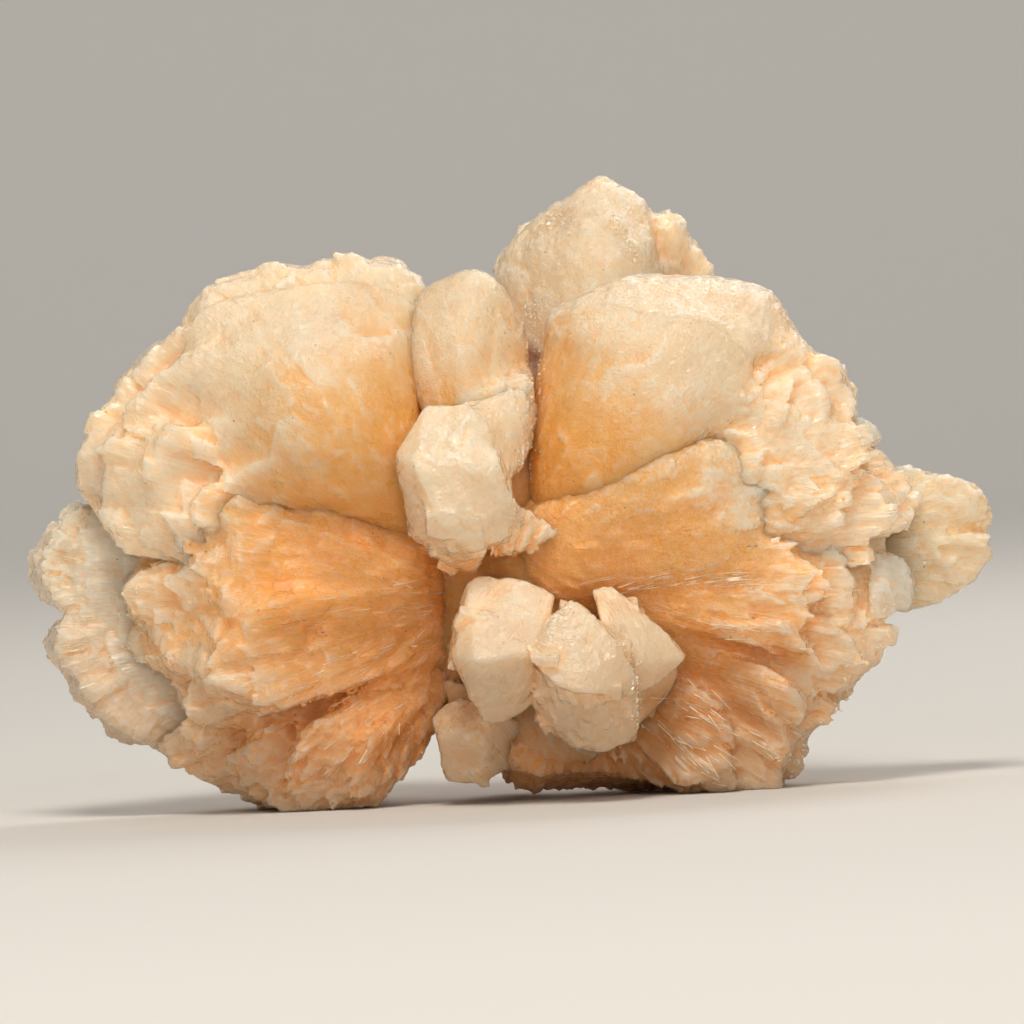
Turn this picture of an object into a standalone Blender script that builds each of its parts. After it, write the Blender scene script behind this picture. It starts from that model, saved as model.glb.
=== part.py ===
"""A stilbite cluster: two bow-tie sheaves of bladed crystals grown from one waist, with a dome-shaped
crystal behind the crest, a broken sheaf at the right end and a knot of blocky crystals on the waist.

All of it grew together, so it is one solid: the union of many flat-faced crystals. Each crystal is the
convex hull of its own corners. Corners are written as the cluster's front view shows them, in
millimetres: how far across from the left, how far down from the top, and how far forward of the middle.
The model is in metres, +Z up, seen from the front along +Y, and stands on the tips of both sheaves.
"""

import math

import bmesh
import bpy
from mathutils import Matrix, Vector

MM = 0.001

# How the front view's frame is set on the surface that the cluster stands on, in millimetres.
STANCE_DEG = 2.75  # it leans this much to the right, to stand on both sheaves
STANCE_PIVOT = (32.5, 80.7)  # across, down: a point of the left sheaf's tips that touches the surface
STANCE_AT = (-20.42, 0.75)  # where that point lies, +X and +Y of the middle of the model's box
FLOOR_THICKNESS = 20.0  # the block that wears the lowest tips flat
FLOOR_SIZE = 140.0

# How a blade is shaped between its waist and its tip, in millimetres.
TIP_BEVEL = 0.9
ROOT_HALF_WIDTH = 1.4
ROOT_THICKNESS = 2.5
BACK_TAPER = 0.45  # share of a blade's thickness by which its back edge falls short of its front edge
EDGE_INSET = 0.12  # share by which a blade's faces are narrower than its outline

# The rear of the cluster repeats the front's blades, turned about the waist and a little shorter.
WAIST = (48.0, 58.5)
REAR_SHEAVES = (
    "left_crest", "left_shoulder", "left_middle", "left_lower", "left_foot",
    "right_crest", "right_shoulder", "right_middle", "right_lower", "right_foot",
)
REAR_REACH = 0.93
REAR_TURN_DEG = (4.0, -3.0, 1.0)
REAR_DEPTH = 0.85
REAR_STEP_BACK = 1.5
REAR_THICKER = 2.0

# Sheaf by sheaf: the root all its blades grow from, then each blade's thickness and tip corners.
SHEAVES = {
    "left_crest": ((45.5, 54.5, 1), [
        (7, (31.0, 27.0, 7), (31.6, 25.4, 7), (36.0, 25.8, 7), (39.2, 27.4, 6.5)),
        (6, (38.9, 27.2, 7.5), (39.8, 26.4, 7.5), (42.3, 27.9, 7.5), (42.6, 29.4, 7.5)),
        (7, (25.5, 28.0, 8), (26.2, 26.8, 8), (27.2, 26.4, 8), (31.2, 27.0, 8)),
        (7, (20.6, 29.0, 8), (21.0, 28.5, 8), (24.4, 28.2, 8), (25.6, 27.8, 8)),
        (7, (18.6, 32.6, 7), (18.7, 31.6, 7), (19.6, 30.3, 7), (20.8, 29.0, 7)),
    ]),
    "left_shoulder": ((46.0, 55.0, 2), [
        (8, (14.0, 35.9, 8), (15.3, 34.0, 8), (18.7, 32.8, 8)),
        (7, (11.8, 40.2, 7), (11.5, 39.0, 7), (12.6, 37.0, 7), (14.0, 35.7, 7)),
        (8, (8.7, 43.2, 7), (9.2, 41.2, 7), (12.0, 40.0, 7)),
        (8, (7.0, 47.5, 6), (7.0, 44.8, 7), (8.7, 42.9, 7)),
        (6, (8.2, 50.2, 4), (7.1, 48.8, 5), (6.9, 47.2, 5)),
        (5, (12.6, 42.5, 10), (12.8, 40.2, 11), (15.0, 37.6, 11.5), (18.5, 36.0, 12)),
        (5, (9.6, 48.0, 10), (9.8, 45.0, 11), (11.6, 43.2, 11.5)),
        (5, (14.6, 48.0, 13), (14.6, 45.0, 13.5), (16.4, 42.2, 14)),
        (5, (10.8, 52.6, 8.5), (9.4, 50.4, 8.5), (10.4, 48.6, 9.5)),
        (5, (15.8, 52.4, 12), (14.4, 50.6, 12), (15.2, 48.6, 12.5)),
        (4, (12.0, 54.2, 9.5), (11.4, 52.4, 10), (13.2, 51.4, 11)),
        (4, (17.8, 55.6, 11), (13.8, 53.6, 11), (14.2, 52.2, 11.5)),
        (4, (20.2, 52.4, 14), (19.4, 50.6, 14.5), (20.6, 48.2, 15)),
    ]),
    "left_middle": ((46.5, 58.5, 3), [
        (4, (22.8, 56.2, 12.5), (18.6, 55.4, 12.5), (18.4, 53.2, 13)),
        (4, (25.4, 53.4, 13), (23.6, 53.2, 13.2), (22.4, 50.8, 14), (23.0, 49.6, 14.5)),
        (4, (25.0, 57.0, 13.5), (23.3, 56.0, 14), (23.4, 54.6, 14)),
        (7, (12.0, 60.9, 8.5), (11.4, 59.0, 9), (12.8, 57.2, 9), (16.0, 56.4, 9)),
        (5, (14.8, 63.8, 7), (14.6, 62.0, 7.5), (15.4, 60.8, 7.5)),
        (4, (24.8, 61.2, 12.5), (21.1, 58.7, 12.5), (22.6, 57.7, 12.5)),
        (4, (22.8, 63.2, 13), (23.9, 61.8, 13.5), (26.4, 60.4, 13.5), (28.6, 59.8, 13.5)),
        (6, (13.0, 62.6, 5), (12.4, 64.4, 5), (13.8, 66.6, 5)),
    ]),
    "left_lower": ((46.0, 62.0, 3), [
        (6, (19.0, 68.0, 7.5), (16.4, 67.4, 8), (15.4, 65.4, 8), (16.2, 63.4, 8)),
        (5, (27.8, 70.1, 13), (24.4, 69.2, 13.5), (20.4, 67.4, 13.5), (22.4, 63.2, 14)),
        (6, (23.6, 72.4, 8.5), (20.4, 72.3, 9), (18.1, 71.0, 9), (18.4, 69.2, 9.5), (20.6, 67.8, 10)),
        (5, (25.4, 73.2, 8.5), (24.0, 72.2, 9), (24.2, 70.6, 9.5)),
    ]),
    "left_foot": ((44.5, 66.0, 3), [
        (5, (23.8, 74.4, 7), (20.8, 75.4, 7), (18.6, 74.2, 7.5), (17.7, 72.6, 8)),
        (6, (20.6, 77.0, 3.5), (18.4, 77.0, 3.5), (16.8, 76.2, 4), (15.7, 74.2, 4)),
        (6, (24.5, 79.8, 3), (21.0, 79.2, 3), (19.0, 77.6, 3.5)),
        (5, (26.4, 77.0, 9), (25.0, 76.0, 9.5), (25.0, 74.4, 10), (26.6, 73.2, 10)),
        (6, (27.0, 80.2, 5.5), (24.6, 79.4, 6), (23.2, 77.4, 6.5), (24.0, 75.8, 7)),
        (6, (30.6, 80.8, 8.5), (28.4, 78.8, 10), (29.8, 75.6, 11.5), (31.0, 72.5, 12)),
        (5, (37.6, 79.4, 9.5), (35.3, 79.4, 10.5), (35.6, 77.0, 12), (37.0, 74.4, 12.5)),
    ]),
    "left_white_upper": ((16.0, 57.5, -1), [
        (6, (8.6, 51.2, 1.5), (8.2, 50.4, 1.5), (6.2, 52.6, 2)),
        (6, (6.3, 53.0, 3), (5.2, 54.2, 3.2), (4.5, 55.6, 3.4)),
        (6, (4.5, 55.8, 3.8), (4.3, 57.2, 4), (4.4, 58.4, 4)),
        (6, (4.5, 58.4, 3.6), (5.2, 59.6, 3.6), (6.4, 60.5, 3.4)),
        (6, (6.2, 60.4, 2.4), (7.4, 61.0, 2.4), (8.8, 60.2, 2.4)),
    ]),
    "left_white_lower": ((22.0, 63.0, 0), [
        (6, (8.4, 60.8, 3), (7.4, 61.2, 3), (5.8, 62.4, 3.5)),
        (6, (5.6, 62.6, 4.5), (5.0, 64.2, 5), (5.5, 65.6, 5)),
        (6, (5.6, 65.4, 4.5), (6.6, 66.6, 4.8), (7.6, 67.8, 4.8)),
        (6, (7.9, 67.9, 5.2), (8.0, 68.9, 5.4), (9.4, 70.3, 5.4)),
        (6, (9.4, 70.4, 4.6), (10.6, 71.8, 4.6), (11.8, 72.6, 4.6)),
        (6, (11.6, 72.5, 5.2), (13.2, 73.6, 5), (14.6, 74.0, 5)),
        (6, (14.2, 73.9, 3.6), (16.2, 74.6, 3.6), (17.8, 73.8, 3.6)),
    ]),
    "summit_sides": ((60.0, 45.0, -12), [
        (7, (65.2, 21.6, -6.6), (66.4, 21.2, -6.8), (67.4, 21.0, -7.1), (68.6, 22.4, -7)),
        (8, (68.4, 22.2, -9), (70.4, 24.8, -9), (72.0, 27.6, -9), (72.0, 29.2, -9)),
        (8, (49.2, 27.6, -13), (50.2, 24.8, -13), (53.0, 21.8, -13)),
    ]),
    "right_crest": ((51.5, 52.0, 2), [
        (8, (72.4, 29.2, 5), (74.5, 29.4, 5), (76.6, 29.9, 5)),
        (7, (76.4, 30.0, 7), (77.6, 31.6, 7), (78.8, 33.6, 7), (79.6, 34.5, 7)),
        (7, (79.0, 37.0, 9), (79.6, 34.6, 9), (83.0, 35.7, 8), (84.6, 36.7, 8)),
        (7, (84.4, 36.9, 7), (86.0, 38.8, 7), (86.1, 41.2, 7)),
        (5, (82.6, 43.6, 10), (83.4, 40.4, 10), (82.0, 37.4, 9.5)),
        (6, (77.2, 45.4, 11.5), (78.4, 42.0, 11.5), (79.2, 37.8, 11)),
        (6, (75.6, 47.0, 13), (76.8, 43.5, 12.5), (76.0, 39.6, 11.5)),
        (5, (82.4, 49.8, 11.5), (85.2, 47.2, 11.5), (87.4, 45.2, 10), (86.4, 42.4, 9.5)),
    ]),
    "right_shoulder": ((53.0, 54.0, 1), [
        (9, (86.6, 42.4, 4), (88.2, 44.2, 5), (90.2, 46.2, 5), (91.2, 48.0, 4)),
        (8, (91.6, 47.6, 4.5), (92.4, 50.0, 4.5), (91.3, 52.6, 4.5)),
        (6, (87.4, 47.2, 8.5), (89.4, 49.6, 9), (88.8, 52.6, 8.5)),
        (6, (84.2, 52.4, 10.5), (85.0, 49.4, 10.5), (86.6, 47.8, 10)),
        (6, (66.0, 51.2, 12), (73.6, 49.4, 13), (75.6, 46.8, 13)),
        (5, (64.0, 54.2, 9.5), (76.6, 54.2, 11), (79.2, 52.4, 11.5), (81.6, 49.4, 11.5), (83.0, 46.6, 11)),
        (7, (82.4, 52.8, 9), (86.4, 53.4, 8), (87.2, 56.2, 7.5)),
    ]),
    "right_fibres": ((52.0, 57.4, 5), [
        (4, (74.0, 55.4, 11.2), (77.6, 55.0, 11), (78.6, 57.4, 10.8)),
        (4, (72.0, 58.0, 11.6), (80.4, 57.7, 10.6), (81.0, 59.6, 10)),
        (4, (70.0, 60.4, 11.6), (78.6, 60.2, 11), (79.2, 62.2, 10.6), (74.0, 62.6, 11)),
        (4, (71.0, 63.0, 12), (77.0, 63.0, 11.6), (78.4, 65.4, 11.2)),
    ]),
    "right_middle": ((53.5, 58.5, 3), [
        (7, (84.4, 55.0, 8.5), (86.0, 58.0, 8.5), (85.8, 61.0, 8)),
        (7, (86.8, 58.4, 5), (88.0, 60.0, 5), (88.2, 62.2, 5)),
        (9, (88.9, 61.2, 5), (89.6, 63.8, 6), (88.8, 65.8, 6), (86.4, 68.2, 6)),
        (7, (85.0, 63.4, 9), (86.6, 65.6, 8.5), (84.6, 68.6, 8)),
        (6, (80.8, 64.4, 9.5), (82.4, 66.8, 9), (81.4, 69.4, 8.5)),
    ]),
    "right_lower": ((56.0, 62.5, 3), [
        (6, (77.8, 66.9, 11.5), (79.4, 68.6, 11.5), (80.4, 70.6, 11), (79.8, 72.2, 10.5)),
        (7, (82.8, 69.8, 6.5), (84.2, 70.9, 6.5), (82.6, 72.2, 6.5), (80.2, 72.8, 6.5)),
        (7, (85.2, 68.8, 2.5), (85.0, 70.0, 2.5), (83.6, 71.6, 2.5)),
        (5, (78.8, 73.2, 9), (79.5, 74.6, 9), (78.2, 75.8, 9)),
        (7, (81.4, 73.4, 4.5), (81.2, 75.2, 4.5), (80.4, 76.6, 4.5), (78.6, 78.0, 4)),
        (6, (77.6, 75.3, 7.5), (78.0, 77.0, 7.5), (76.6, 78.9, 7), (74.0, 78.3, 7)),
    ]),
    "right_foot": ((57.0, 66.0, 4), [
        (7, (71.0, 69.4, 13), (72.6, 72.0, 13), (73.0, 75.8, 12), (70.2, 77.4, 11.5), (68.2, 78.3, 11)),
        (7, (67.6, 78.2, 5), (64.0, 76.8, 5), (60.0, 75.3, 5)),
        (5, (51.2, 74.6, 12), (52.4, 76.2, 12), (54.4, 76.9, 12)),
        (5, (54.0, 76.6, 10.5), (56.4, 76.2, 10), (58.6, 75.6, 9.5)),
    ]),
}

# Single crystals with corners of their own: how far each is carried back, then its front corners.
CRYSTALS = {
    "left_dome": (14, [
        (20.0, 33.5, 9.5), (22.5, 31.0, 9.5), (29.0, 29.8, 9.5), (34.0, 28.8, 9), (38.0, 29.8, 9),
        (41.0, 31.2, 9.5), (41.4, 36.0, 12), (42.4, 41.0, 13.5), (41.5, 50.0, 13), (42.5, 54.8, 10),
        (37.0, 52.2, 12.5), (30.0, 49.7, 13.5), (24.3, 47.2, 12.5), (21.5, 42.0, 11.5), (20.0, 37.5, 10.5),
        (25.0, 35.0, 14), (30.0, 32.6, 13), (36.0, 33.0, 13), (39.2, 38.0, 15.4), (40.0, 45.0, 16.4),
        (36.6, 49.4, 15.8), (30.0, 46.8, 16.8), (25.0, 43.4, 15.6), (29.0, 37.0, 17.8), (34.0, 37.0, 18.0),
        (36.2, 42.0, 18.6), (31.8, 43.8, 18.8), (28.2, 41.0, 18.0),
    ]),
    "middle_dome": (12, [
        (41.2, 30.5, 9), (43.0, 28.4, 9), (46.6, 26.9, 10), (48.8, 27.2, 10), (50.6, 29.0, 10),
        (52.4, 31.4, 9), (53.1, 34.5, 8), (53.0, 38.5, 9), (50.5, 42.0, 12), (44.0, 43.0, 12.5),
        (41.5, 40.0, 12), (40.8, 35.5, 11), (46.5, 32.5, 14), (47.0, 38.0, 15),
    ]),
    "middle_plate": (10, [
        (46.2, 40.2, 15), (48.2, 38.6, 14.5), (51.2, 37.4, 13.5), (53.2, 37.2, 12), (53.4, 40.5, 12.5),
        (52.8, 43.0, 13.5), (53.0, 44.5, 12.5), (50.5, 48.0, 15), (47.0, 45.0, 16),
    ]),
    "upper_block": (13, [
        (42.8, 40.2, 17.5), (46.6, 40.6, 17.5), (48.4, 42.8, 18), (49.8, 45.9, 20.5), (41.6, 46.2, 21),
        (39.7, 45.1, 18.5), (44.2, 51.6, 21), (47.2, 54.2, 19.5), (50.4, 53.6, 18), (51.6, 50.6, 18),
        (50.4, 47.8, 20), (40.6, 49.0, 17), (41.4, 53.4, 14.5), (44.2, 55.2, 14.5),
    ]),
    "upper_block_heel": (10, [
        (44.2, 51.0, 20.6), (47.6, 51.4, 20.4), (48.4, 54.6, 18.5), (47.6, 56.8, 15), (45.2, 56.2, 15),
        (43.4, 54.4, 16),
    ]),
    "upper_block_ledge": (9, [
        (50.4, 50.4, 17), (52.8, 50.8, 16.5), (54.8, 52.2, 14.5), (55.2, 53.6, 13.5), (52.6, 54.6, 14.5),
        (49.6, 55.0, 15.5),
    ]),
    "summit_dome": (0, [
        (60.4, 17.1, -8), (58.2, 18.2, -8), (55.2, 20.7, -8), (53.0, 21.8, -9), (50.4, 24.4, -9),
        (49.2, 27.4, -10), (52.0, 34.0, -4), (54.0, 25.0, -4.5), (57.4, 22.0, -4), (61.3, 21.7, -4),
        (62.8, 25.0, -1.5), (65.0, 27.2, -2.5), (62.6, 19.2, -8), (65.4, 21.2, -8), (58.0, 27.0, -1),
        (58.0, 36.0, 1), (66.0, 34.0, -3), (60.2, 18.6, -14), (56.0, 21.6, -15), (51.6, 26.0, -15),
        (65.0, 23.0, -14), (61.0, 24.0, -19), (56.4, 27.0, -20), (64.4, 29.0, -19), (60.0, 33.0, -21.5),
        (54.0, 33.0, -18), (67.0, 34.0, -16), (60.0, 42.0, -19), (54.0, 42.0, -14), (66.0, 44.0, -14),
    ]),
    "right_dome": (14, [
        (53.6, 36.5, 9), (54.3, 33.6, 9), (56.0, 31.7, 10), (59.5, 30.6, 11), (62.0, 32.2, 12.5),
        (66.0, 31.8, 12.5), (72.0, 33.0, 11), (74.0, 36.5, 11), (73.0, 40.5, 12.5), (70.2, 43.3, 14),
        (65.2, 47.8, 14.5), (58.0, 51.0, 13), (52.4, 51.4, 10), (52.2, 47.0, 9), (53.6, 41.0, 9),
        (58.0, 34.0, 13.6), (64.0, 34.2, 14.8), (69.5, 35.2, 14.2), (70.8, 39.0, 14.8), (67.0, 43.4, 16),
        (61.0, 47.6, 15.8), (56.0, 47.0, 14.6), (55.4, 41.0, 13.4), (56.0, 36.5, 12.4), (60.5, 37.5, 15.8),
        (65.5, 37.6, 16.2), (66.0, 41.0, 16.8), (61.6, 43.4, 16.8), (59.0, 41.2, 16),
    ]),
    "right_brow": (14, [
        (59.8, 29.4, 8.5), (61.2, 27.8, 8.5), (63.0, 27.2, 9), (70.0, 27.8, 8), (76.4, 29.8, 7),
        (77.6, 31.6, 7), (78.0, 33.6, 8), (72.0, 33.8, 11.5), (65.0, 32.6, 13), (62.0, 33.8, 13),
        (57.0, 31.4, 10),
    ]),
    "waist_block_left": (14, [
        (46.8, 57.9, 17), (47.8, 57.2, 16.5), (52.0, 57.5, 16.5), (55.4, 59.1, 16.5), (54.0, 62.2, 19.5),
        (53.2, 64.4, 21), (48.0, 65.2, 22), (45.6, 64.8, 20), (45.1, 65.0, 18.5), (48.4, 71.4, 17),
        (50.4, 71.4, 17), (52.6, 70.2, 16.5), (53.2, 66.5, 18.5), (45.2, 62.6, 16), (46.2, 59.4, 14.5),
    ]),
    "waist_block_middle": (12, [
        (57.0, 59.5, 19.5), (58.2, 59.9, 19.5), (61.8, 63.6, 20.5), (63.4, 66.6, 20), (63.2, 68.6, 19.5),
        (58.8, 68.4, 23), (55.8, 67.8, 22.5), (53.1, 65.2, 21), (54.6, 61.6, 19.5),
    ]),
    "waist_block_low": (14, [
        (53.4, 66.4, 19), (55.8, 67.6, 21.6), (59.0, 68.4, 22), (63.4, 67.4, 19.5), (63.8, 69.4, 18),
        (63.8, 71.0, 17), (63.3, 73.4, 16), (59.4, 74.4, 17), (57.2, 74.0, 16.5), (53.6, 71.2, 15.5),
    ]),
    "waist_block_right": (12, [
        (59.2, 58.6, 14), (61.0, 58.2, 14), (66.2, 62.5, 15), (68.4, 65.2, 15), (66.0, 67.4, 15.5),
        (64.0, 68.4, 16.5), (62.6, 65.6, 18.8), (60.0, 61.4, 17.6),
    ]),
    "waist_block_shadowed": (10, [
        (63.6, 68.0, 13), (67.6, 66.4, 12), (67.0, 68.6, 11), (64.6, 71.2, 11), (63.6, 72.0, 12),
    ]),
    "small_block_left": (12, [
        (43.3, 71.6, 10.5), (44.8, 70.0, 10.5), (46.4, 69.4, 11), (49.4, 70.4, 14), (48.4, 73.2, 14),
        (44.2, 73.0, 13), (44.1, 74.5, 12), (44.8, 77.6, 10.5), (48.0, 77.8, 11), (51.8, 76.0, 10),
        (52.4, 71.8, 11),
    ]),
    "small_block_right": (6, [
        (70.4, 76.4, 10.5), (72.6, 76.2, 10.5), (73.6, 77.8, 9.5), (71.6, 79.3, 9), (70.1, 78.2, 9.5),
    ]),
    "broken_sheaf_upper": (9, [
        (84.0, 49.0, -3), (90.0, 46.5, -2), (93.0, 47.2, -2), (96.6, 48.2, -1.5), (98.6, 49.4, -1.5),
        (99.4, 51.2, -2), (98.9, 53.2, -3), (84.0, 57.0, -3), (90.0, 54.6, 0), (93.0, 49.6, 0.5),
        (98.0, 50.8, 0),
    ]),
    "broken_sheaf_lower": (9, [
        (84.0, 56.0, -3), (90.0, 54.0, 0.8), (97.0, 53.4, 0.4), (98.8, 53.6, 0), (99.4, 55.5, -0.5),
        (97.0, 58.6, -1), (92.0, 60.9, -1), (90.4, 61.2, -1), (84.0, 61.0, -3),
    ]),
    "grey_bud": (6, [
        (87.0, 55.4, 5.5), (90.2, 55.7, 5), (91.2, 58.0, 4.5), (90.6, 60.8, 4.5), (87.4, 61.0, 6),
    ]),
    "grey_sliver": (6, [
        (85.6, 41.8, 5), (86.9, 42.2, 4.5), (87.7, 43.4, 4.5), (87.5, 44.6, 4.5), (86.0, 44.8, 5),
    ]),
}

# Plain masses that fill the sheaves between the front and the rear blades: the same form as a crystal.
CORES = {
    "left_core": (10, [
        (47.0, 46.0, 6), (38.0, 31.0, 5), (24.0, 31.5, 4), (16.0, 40.0, 4), (12.5, 47.0, 4),
        (14.0, 58.0, 5), (16.0, 66.0, 5), (20.0, 71.0, 5), (25.0, 76.0, 4), (36.0, 77.5, 2),
        (47.0, 68.0, 3), (33.0, 52.5, 13), (28.0, 61.0, 11.5), (41.0, 57.0, 11.5),
    ]),
    "left_rim_core": (6, [
        (9.5, 51.0, 1), (6.6, 55.0, 2), (6.4, 58.5, 2), (9.0, 61.5, 2), (7.6, 65.0, 3), (10.0, 69.5, 3.4),
        (14.0, 72.6, 3.4), (18.0, 72.6, 3), (26.0, 70.0, 5), (26.0, 54.0, 5), (16.0, 52.0, 4),
    ]),
    "right_core": (10, [
        (46.0, 47.0, 5), (55.0, 36.0, 4), (64.0, 31.0, 4), (76.0, 35.0, 3), (85.0, 43.0, 3),
        (89.0, 50.0, 3), (87.0, 56.0, 4), (86.0, 64.0, 3), (80.0, 73.0, 2), (72.0, 77.0, 2),
        (60.5, 74.0, 4), (46.0, 68.0, 3), (66.0, 46.5, 14), (72.0, 57.0, 12.4), (57.0, 54.5, 12.6),
    ]),
}

# The tips that the cluster stands on: three crystals deep under each sheaf.
FLOOR_TIPS = {
    "left_front": (6.5, [
        (27.6, 80.3, 7), (29.6, 81.1, 7.4), (33.8, 81.2, 7.6), (37.4, 80.0, 7.2), (40.0, 77.6, 7),
        (43.0, 74.3, 6), (46.0, 64.0, 5), (28.0, 68.0, 6),
    ]),
    "left_middle": (6.6, [
        (26.4, 79.6, 0.5), (28.8, 81.0, 0.8), (32.6, 81.2, 1), (36.6, 80.8, 0.6), (38.4, 78.8, 0),
        (41.0, 74.0, 0), (44.0, 64.0, 0), (27.0, 68.0, 0),
    ]),
    "left_rear": (6, [
        (28.2, 79.8, -6.5), (30.4, 81.1, -6), (35.2, 81.1, -6), (37.8, 79.6, -6.5), (39.6, 76.4, -7),
        (42.0, 64.0, -5.2), (29.0, 66.0, -5.2),
    ]),
    "right_front": (6.5, [
        (63.5, 76.4, 7), (67.8, 78.6, 7.4), (70.6, 79.4, 7.6), (74.6, 79.3, 7.4), (77.4, 78.4, 7),
        (78.2, 76.0, 6.5), (76.0, 66.0, 5), (58.0, 62.0, 6),
    ]),
    "right_middle": (6.6, [
        (66.0, 77.4, 0.5), (69.4, 79.3, 0.8), (73.0, 79.4, 1), (76.6, 78.9, 0.4), (77.6, 76.6, 0),
        (75.0, 64.0, 0), (59.0, 62.0, 0),
    ]),
    "right_rear": (6, [
        (64.4, 76.6, -6.5), (68.0, 79.2, -6), (72.2, 79.4, -6), (75.2, 78.8, -6.4), (76.4, 75.6, -7),
        (73.0, 64.0, -5.2), (60.0, 62.0, -5.2),
    ]),
}
WAIST_MASS = (14, [
    (41.0, 50.0, 6), (42.4, 39.2, 9), (47.8, 39.6, 10.5), (52.5, 42.0, 8), (60.0, 52.0, 7), (61.0, 60.0, 8),
    (58.0, 68.0, 8), (52.0, 70.0, 8), (44.0, 68.0, 5), (41.0, 60.0, 5), (51.0, 56.0, 12.5),
])

# Crystals of the side away from the viewer, carried forward into the cluster.
REAR_CRYSTALS = {
    "rear_left_dome": (-12, [
        (17.0, 36.0, -9), (22.0, 31.5, -10), (30.0, 30.0, -11), (38.0, 31.0, -11), (42.0, 36.0, -12),
        (43.0, 45.0, -12), (38.0, 52.0, -13), (28.0, 50.0, -13), (20.0, 45.0, -11), (25.0, 38.0, -16),
        (33.0, 38.0, -19), (36.0, 45.0, -18), (28.0, 44.0, -17.5),
    ]),
    "rear_left_low_dome": (-10, [
        (17.0, 58.0, -8), (30.0, 56.0, -12), (40.0, 60.0, -10), (38.0, 68.0, -10), (28.0, 72.0, -10),
        (18.0, 68.0, -8), (28.0, 62.0, -16), (33.0, 65.0, -15),
    ]),
    "rear_right_dome": (-12, [
        (62.0, 46.0, -12), (74.0, 38.0, -11), (83.0, 44.0, -8), (84.0, 54.0, -8), (76.0, 60.0, -10),
        (64.0, 58.0, -12), (70.0, 47.0, -19), (76.0, 50.0, -17), (68.0, 54.0, -17),
    ]),
    "rear_right_low_dome": (-10, [
        (58.0, 62.0, -10), (70.0, 60.0, -11), (80.0, 64.0, -7), (79.0, 72.0, -6), (70.0, 75.0, -7),
        (60.0, 71.0, -9), (68.0, 66.0, -15), (73.0, 69.0, -13),
    ]),
    "rear_waist_block": (-12, [
        (44.0, 50.0, -9), (52.0, 48.0, -11), (56.0, 54.0, -11), (54.0, 63.0, -10), (46.0, 66.0, -9),
        (43.0, 58.0, -9), (48.0, 53.0, -17), (52.0, 56.0, -18), (49.0, 61.0, -16),
    ]),
    "rear_waist_low_block": (-10, [
        (47.0, 64.0, -8), (54.0, 62.0, -9), (58.0, 68.0, -8), (55.0, 74.0, -6), (48.0, 73.0, -6),
        (52.0, 66.0, -14), (53.0, 70.0, -12),
    ]),
}


def placed(across, down, forward):
    """A point of the front view as a point of the model, where it leans to stand on both sheaves."""
    from_pivot = Vector((across - STANCE_PIVOT[0], -forward, STANCE_PIVOT[1] - down))
    leaning = Matrix.Rotation(math.radians(STANCE_DEG), 3, "Y") @ from_pivot
    return (leaning + Vector((STANCE_AT[0], STANCE_AT[1], 0))) * MM


def hull(points):
    """A closed bmesh of the convex hull of the points."""
    shape = bmesh.new()
    for point in points:
        shape.verts.new(point)
    made = bmesh.ops.convex_hull(shape, input=shape.verts)
    inside = {v for v in made["geom_interior"] if isinstance(v, bmesh.types.BMVert)}
    bmesh.ops.delete(shape, geom=list(inside), context="VERTS")
    loose = [v for v in shape.verts if not v.link_faces]
    bmesh.ops.delete(shape, geom=loose, context="VERTS")
    bmesh.ops.recalc_face_normals(shape, faces=shape.faces)
    return shape


def blade(root, tips, thickness, rear=False):
    """A blade that widens from its root to its tip corners, with a tapered back, bevelled in front."""
    start = placed(*root)
    corners = [placed(*tip) for tip in tips]
    middle = sum(corners, Vector()) / len(corners)
    along = (middle - start).normalized()
    towards_viewer = Vector((0, 1 if rear else -1, 0))
    face = (towards_viewer - along * towards_viewer.dot(along)).normalized()
    side = along.cross(face)
    bevel, depth = TIP_BEVEL * MM, thickness * MM
    points = []
    for corner in corners:
        inward = (middle - corner) * EDGE_INSET
        points.append(corner + inward * 2 - face * depth - along * depth * BACK_TAPER)
        if rear:
            points.append(corner)
        else:
            points += [corner + inward - along * bevel, corner - face * bevel]
    for way in (-1, 1):
        edge = start + side * way * ROOT_HALF_WIDTH * MM
        points += [edge, edge - face * ROOT_THICKNESS * MM]
    return hull(points)


def crystal(faces, carried_back):
    """A crystal with the given corners, carried straight back (forward if negative) and narrowed.

    With nothing to carry it, the corners are those of its rear as well.
    """
    corners = [placed(*corner) for corner in faces]
    if not carried_back:
        return hull(corners)
    middle = sum(corners, Vector()) / len(corners)
    inmost = max(c.y for c in corners) if carried_back > 0 else min(c.y for c in corners)
    far_side = []
    for corner in corners:
        behind = corner + (middle - corner) * EDGE_INSET * 2
        behind.y = inmost + carried_back * MM
        far_side.append(behind)
    return hull(corners + far_side)


def rear_tip(tip, number):
    """Where a blade of the rear has the corner that its twin in front has at tip."""
    turn = math.radians(REAR_TURN_DEG[number % len(REAR_TURN_DEG)])
    across, down = tip[0] - WAIST[0], tip[1] - WAIST[1]
    turned_across = across * math.cos(turn) - down * math.sin(turn)
    turned_down = across * math.sin(turn) + down * math.cos(turn)
    return (
        WAIST[0] + turned_across * REAR_REACH,
        WAIST[1] + turned_down * REAR_REACH,
        -tip[2] * REAR_DEPTH - REAR_STEP_BACK,
    )


def crystals_of_the_front():
    """Every crystal seen from the front, and the masses they stand on, each as its own closed bmesh."""
    shapes = [crystal(faces, back) for back, faces in [*CORES.values(), *FLOOR_TIPS.values()]]
    shapes += [crystal(faces, back) for back, faces in CRYSTALS.values()]
    for root, blades in SHEAVES.values():
        shapes += [blade(root, tips, thickness) for thickness, *tips in blades]
    return shapes


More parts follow.
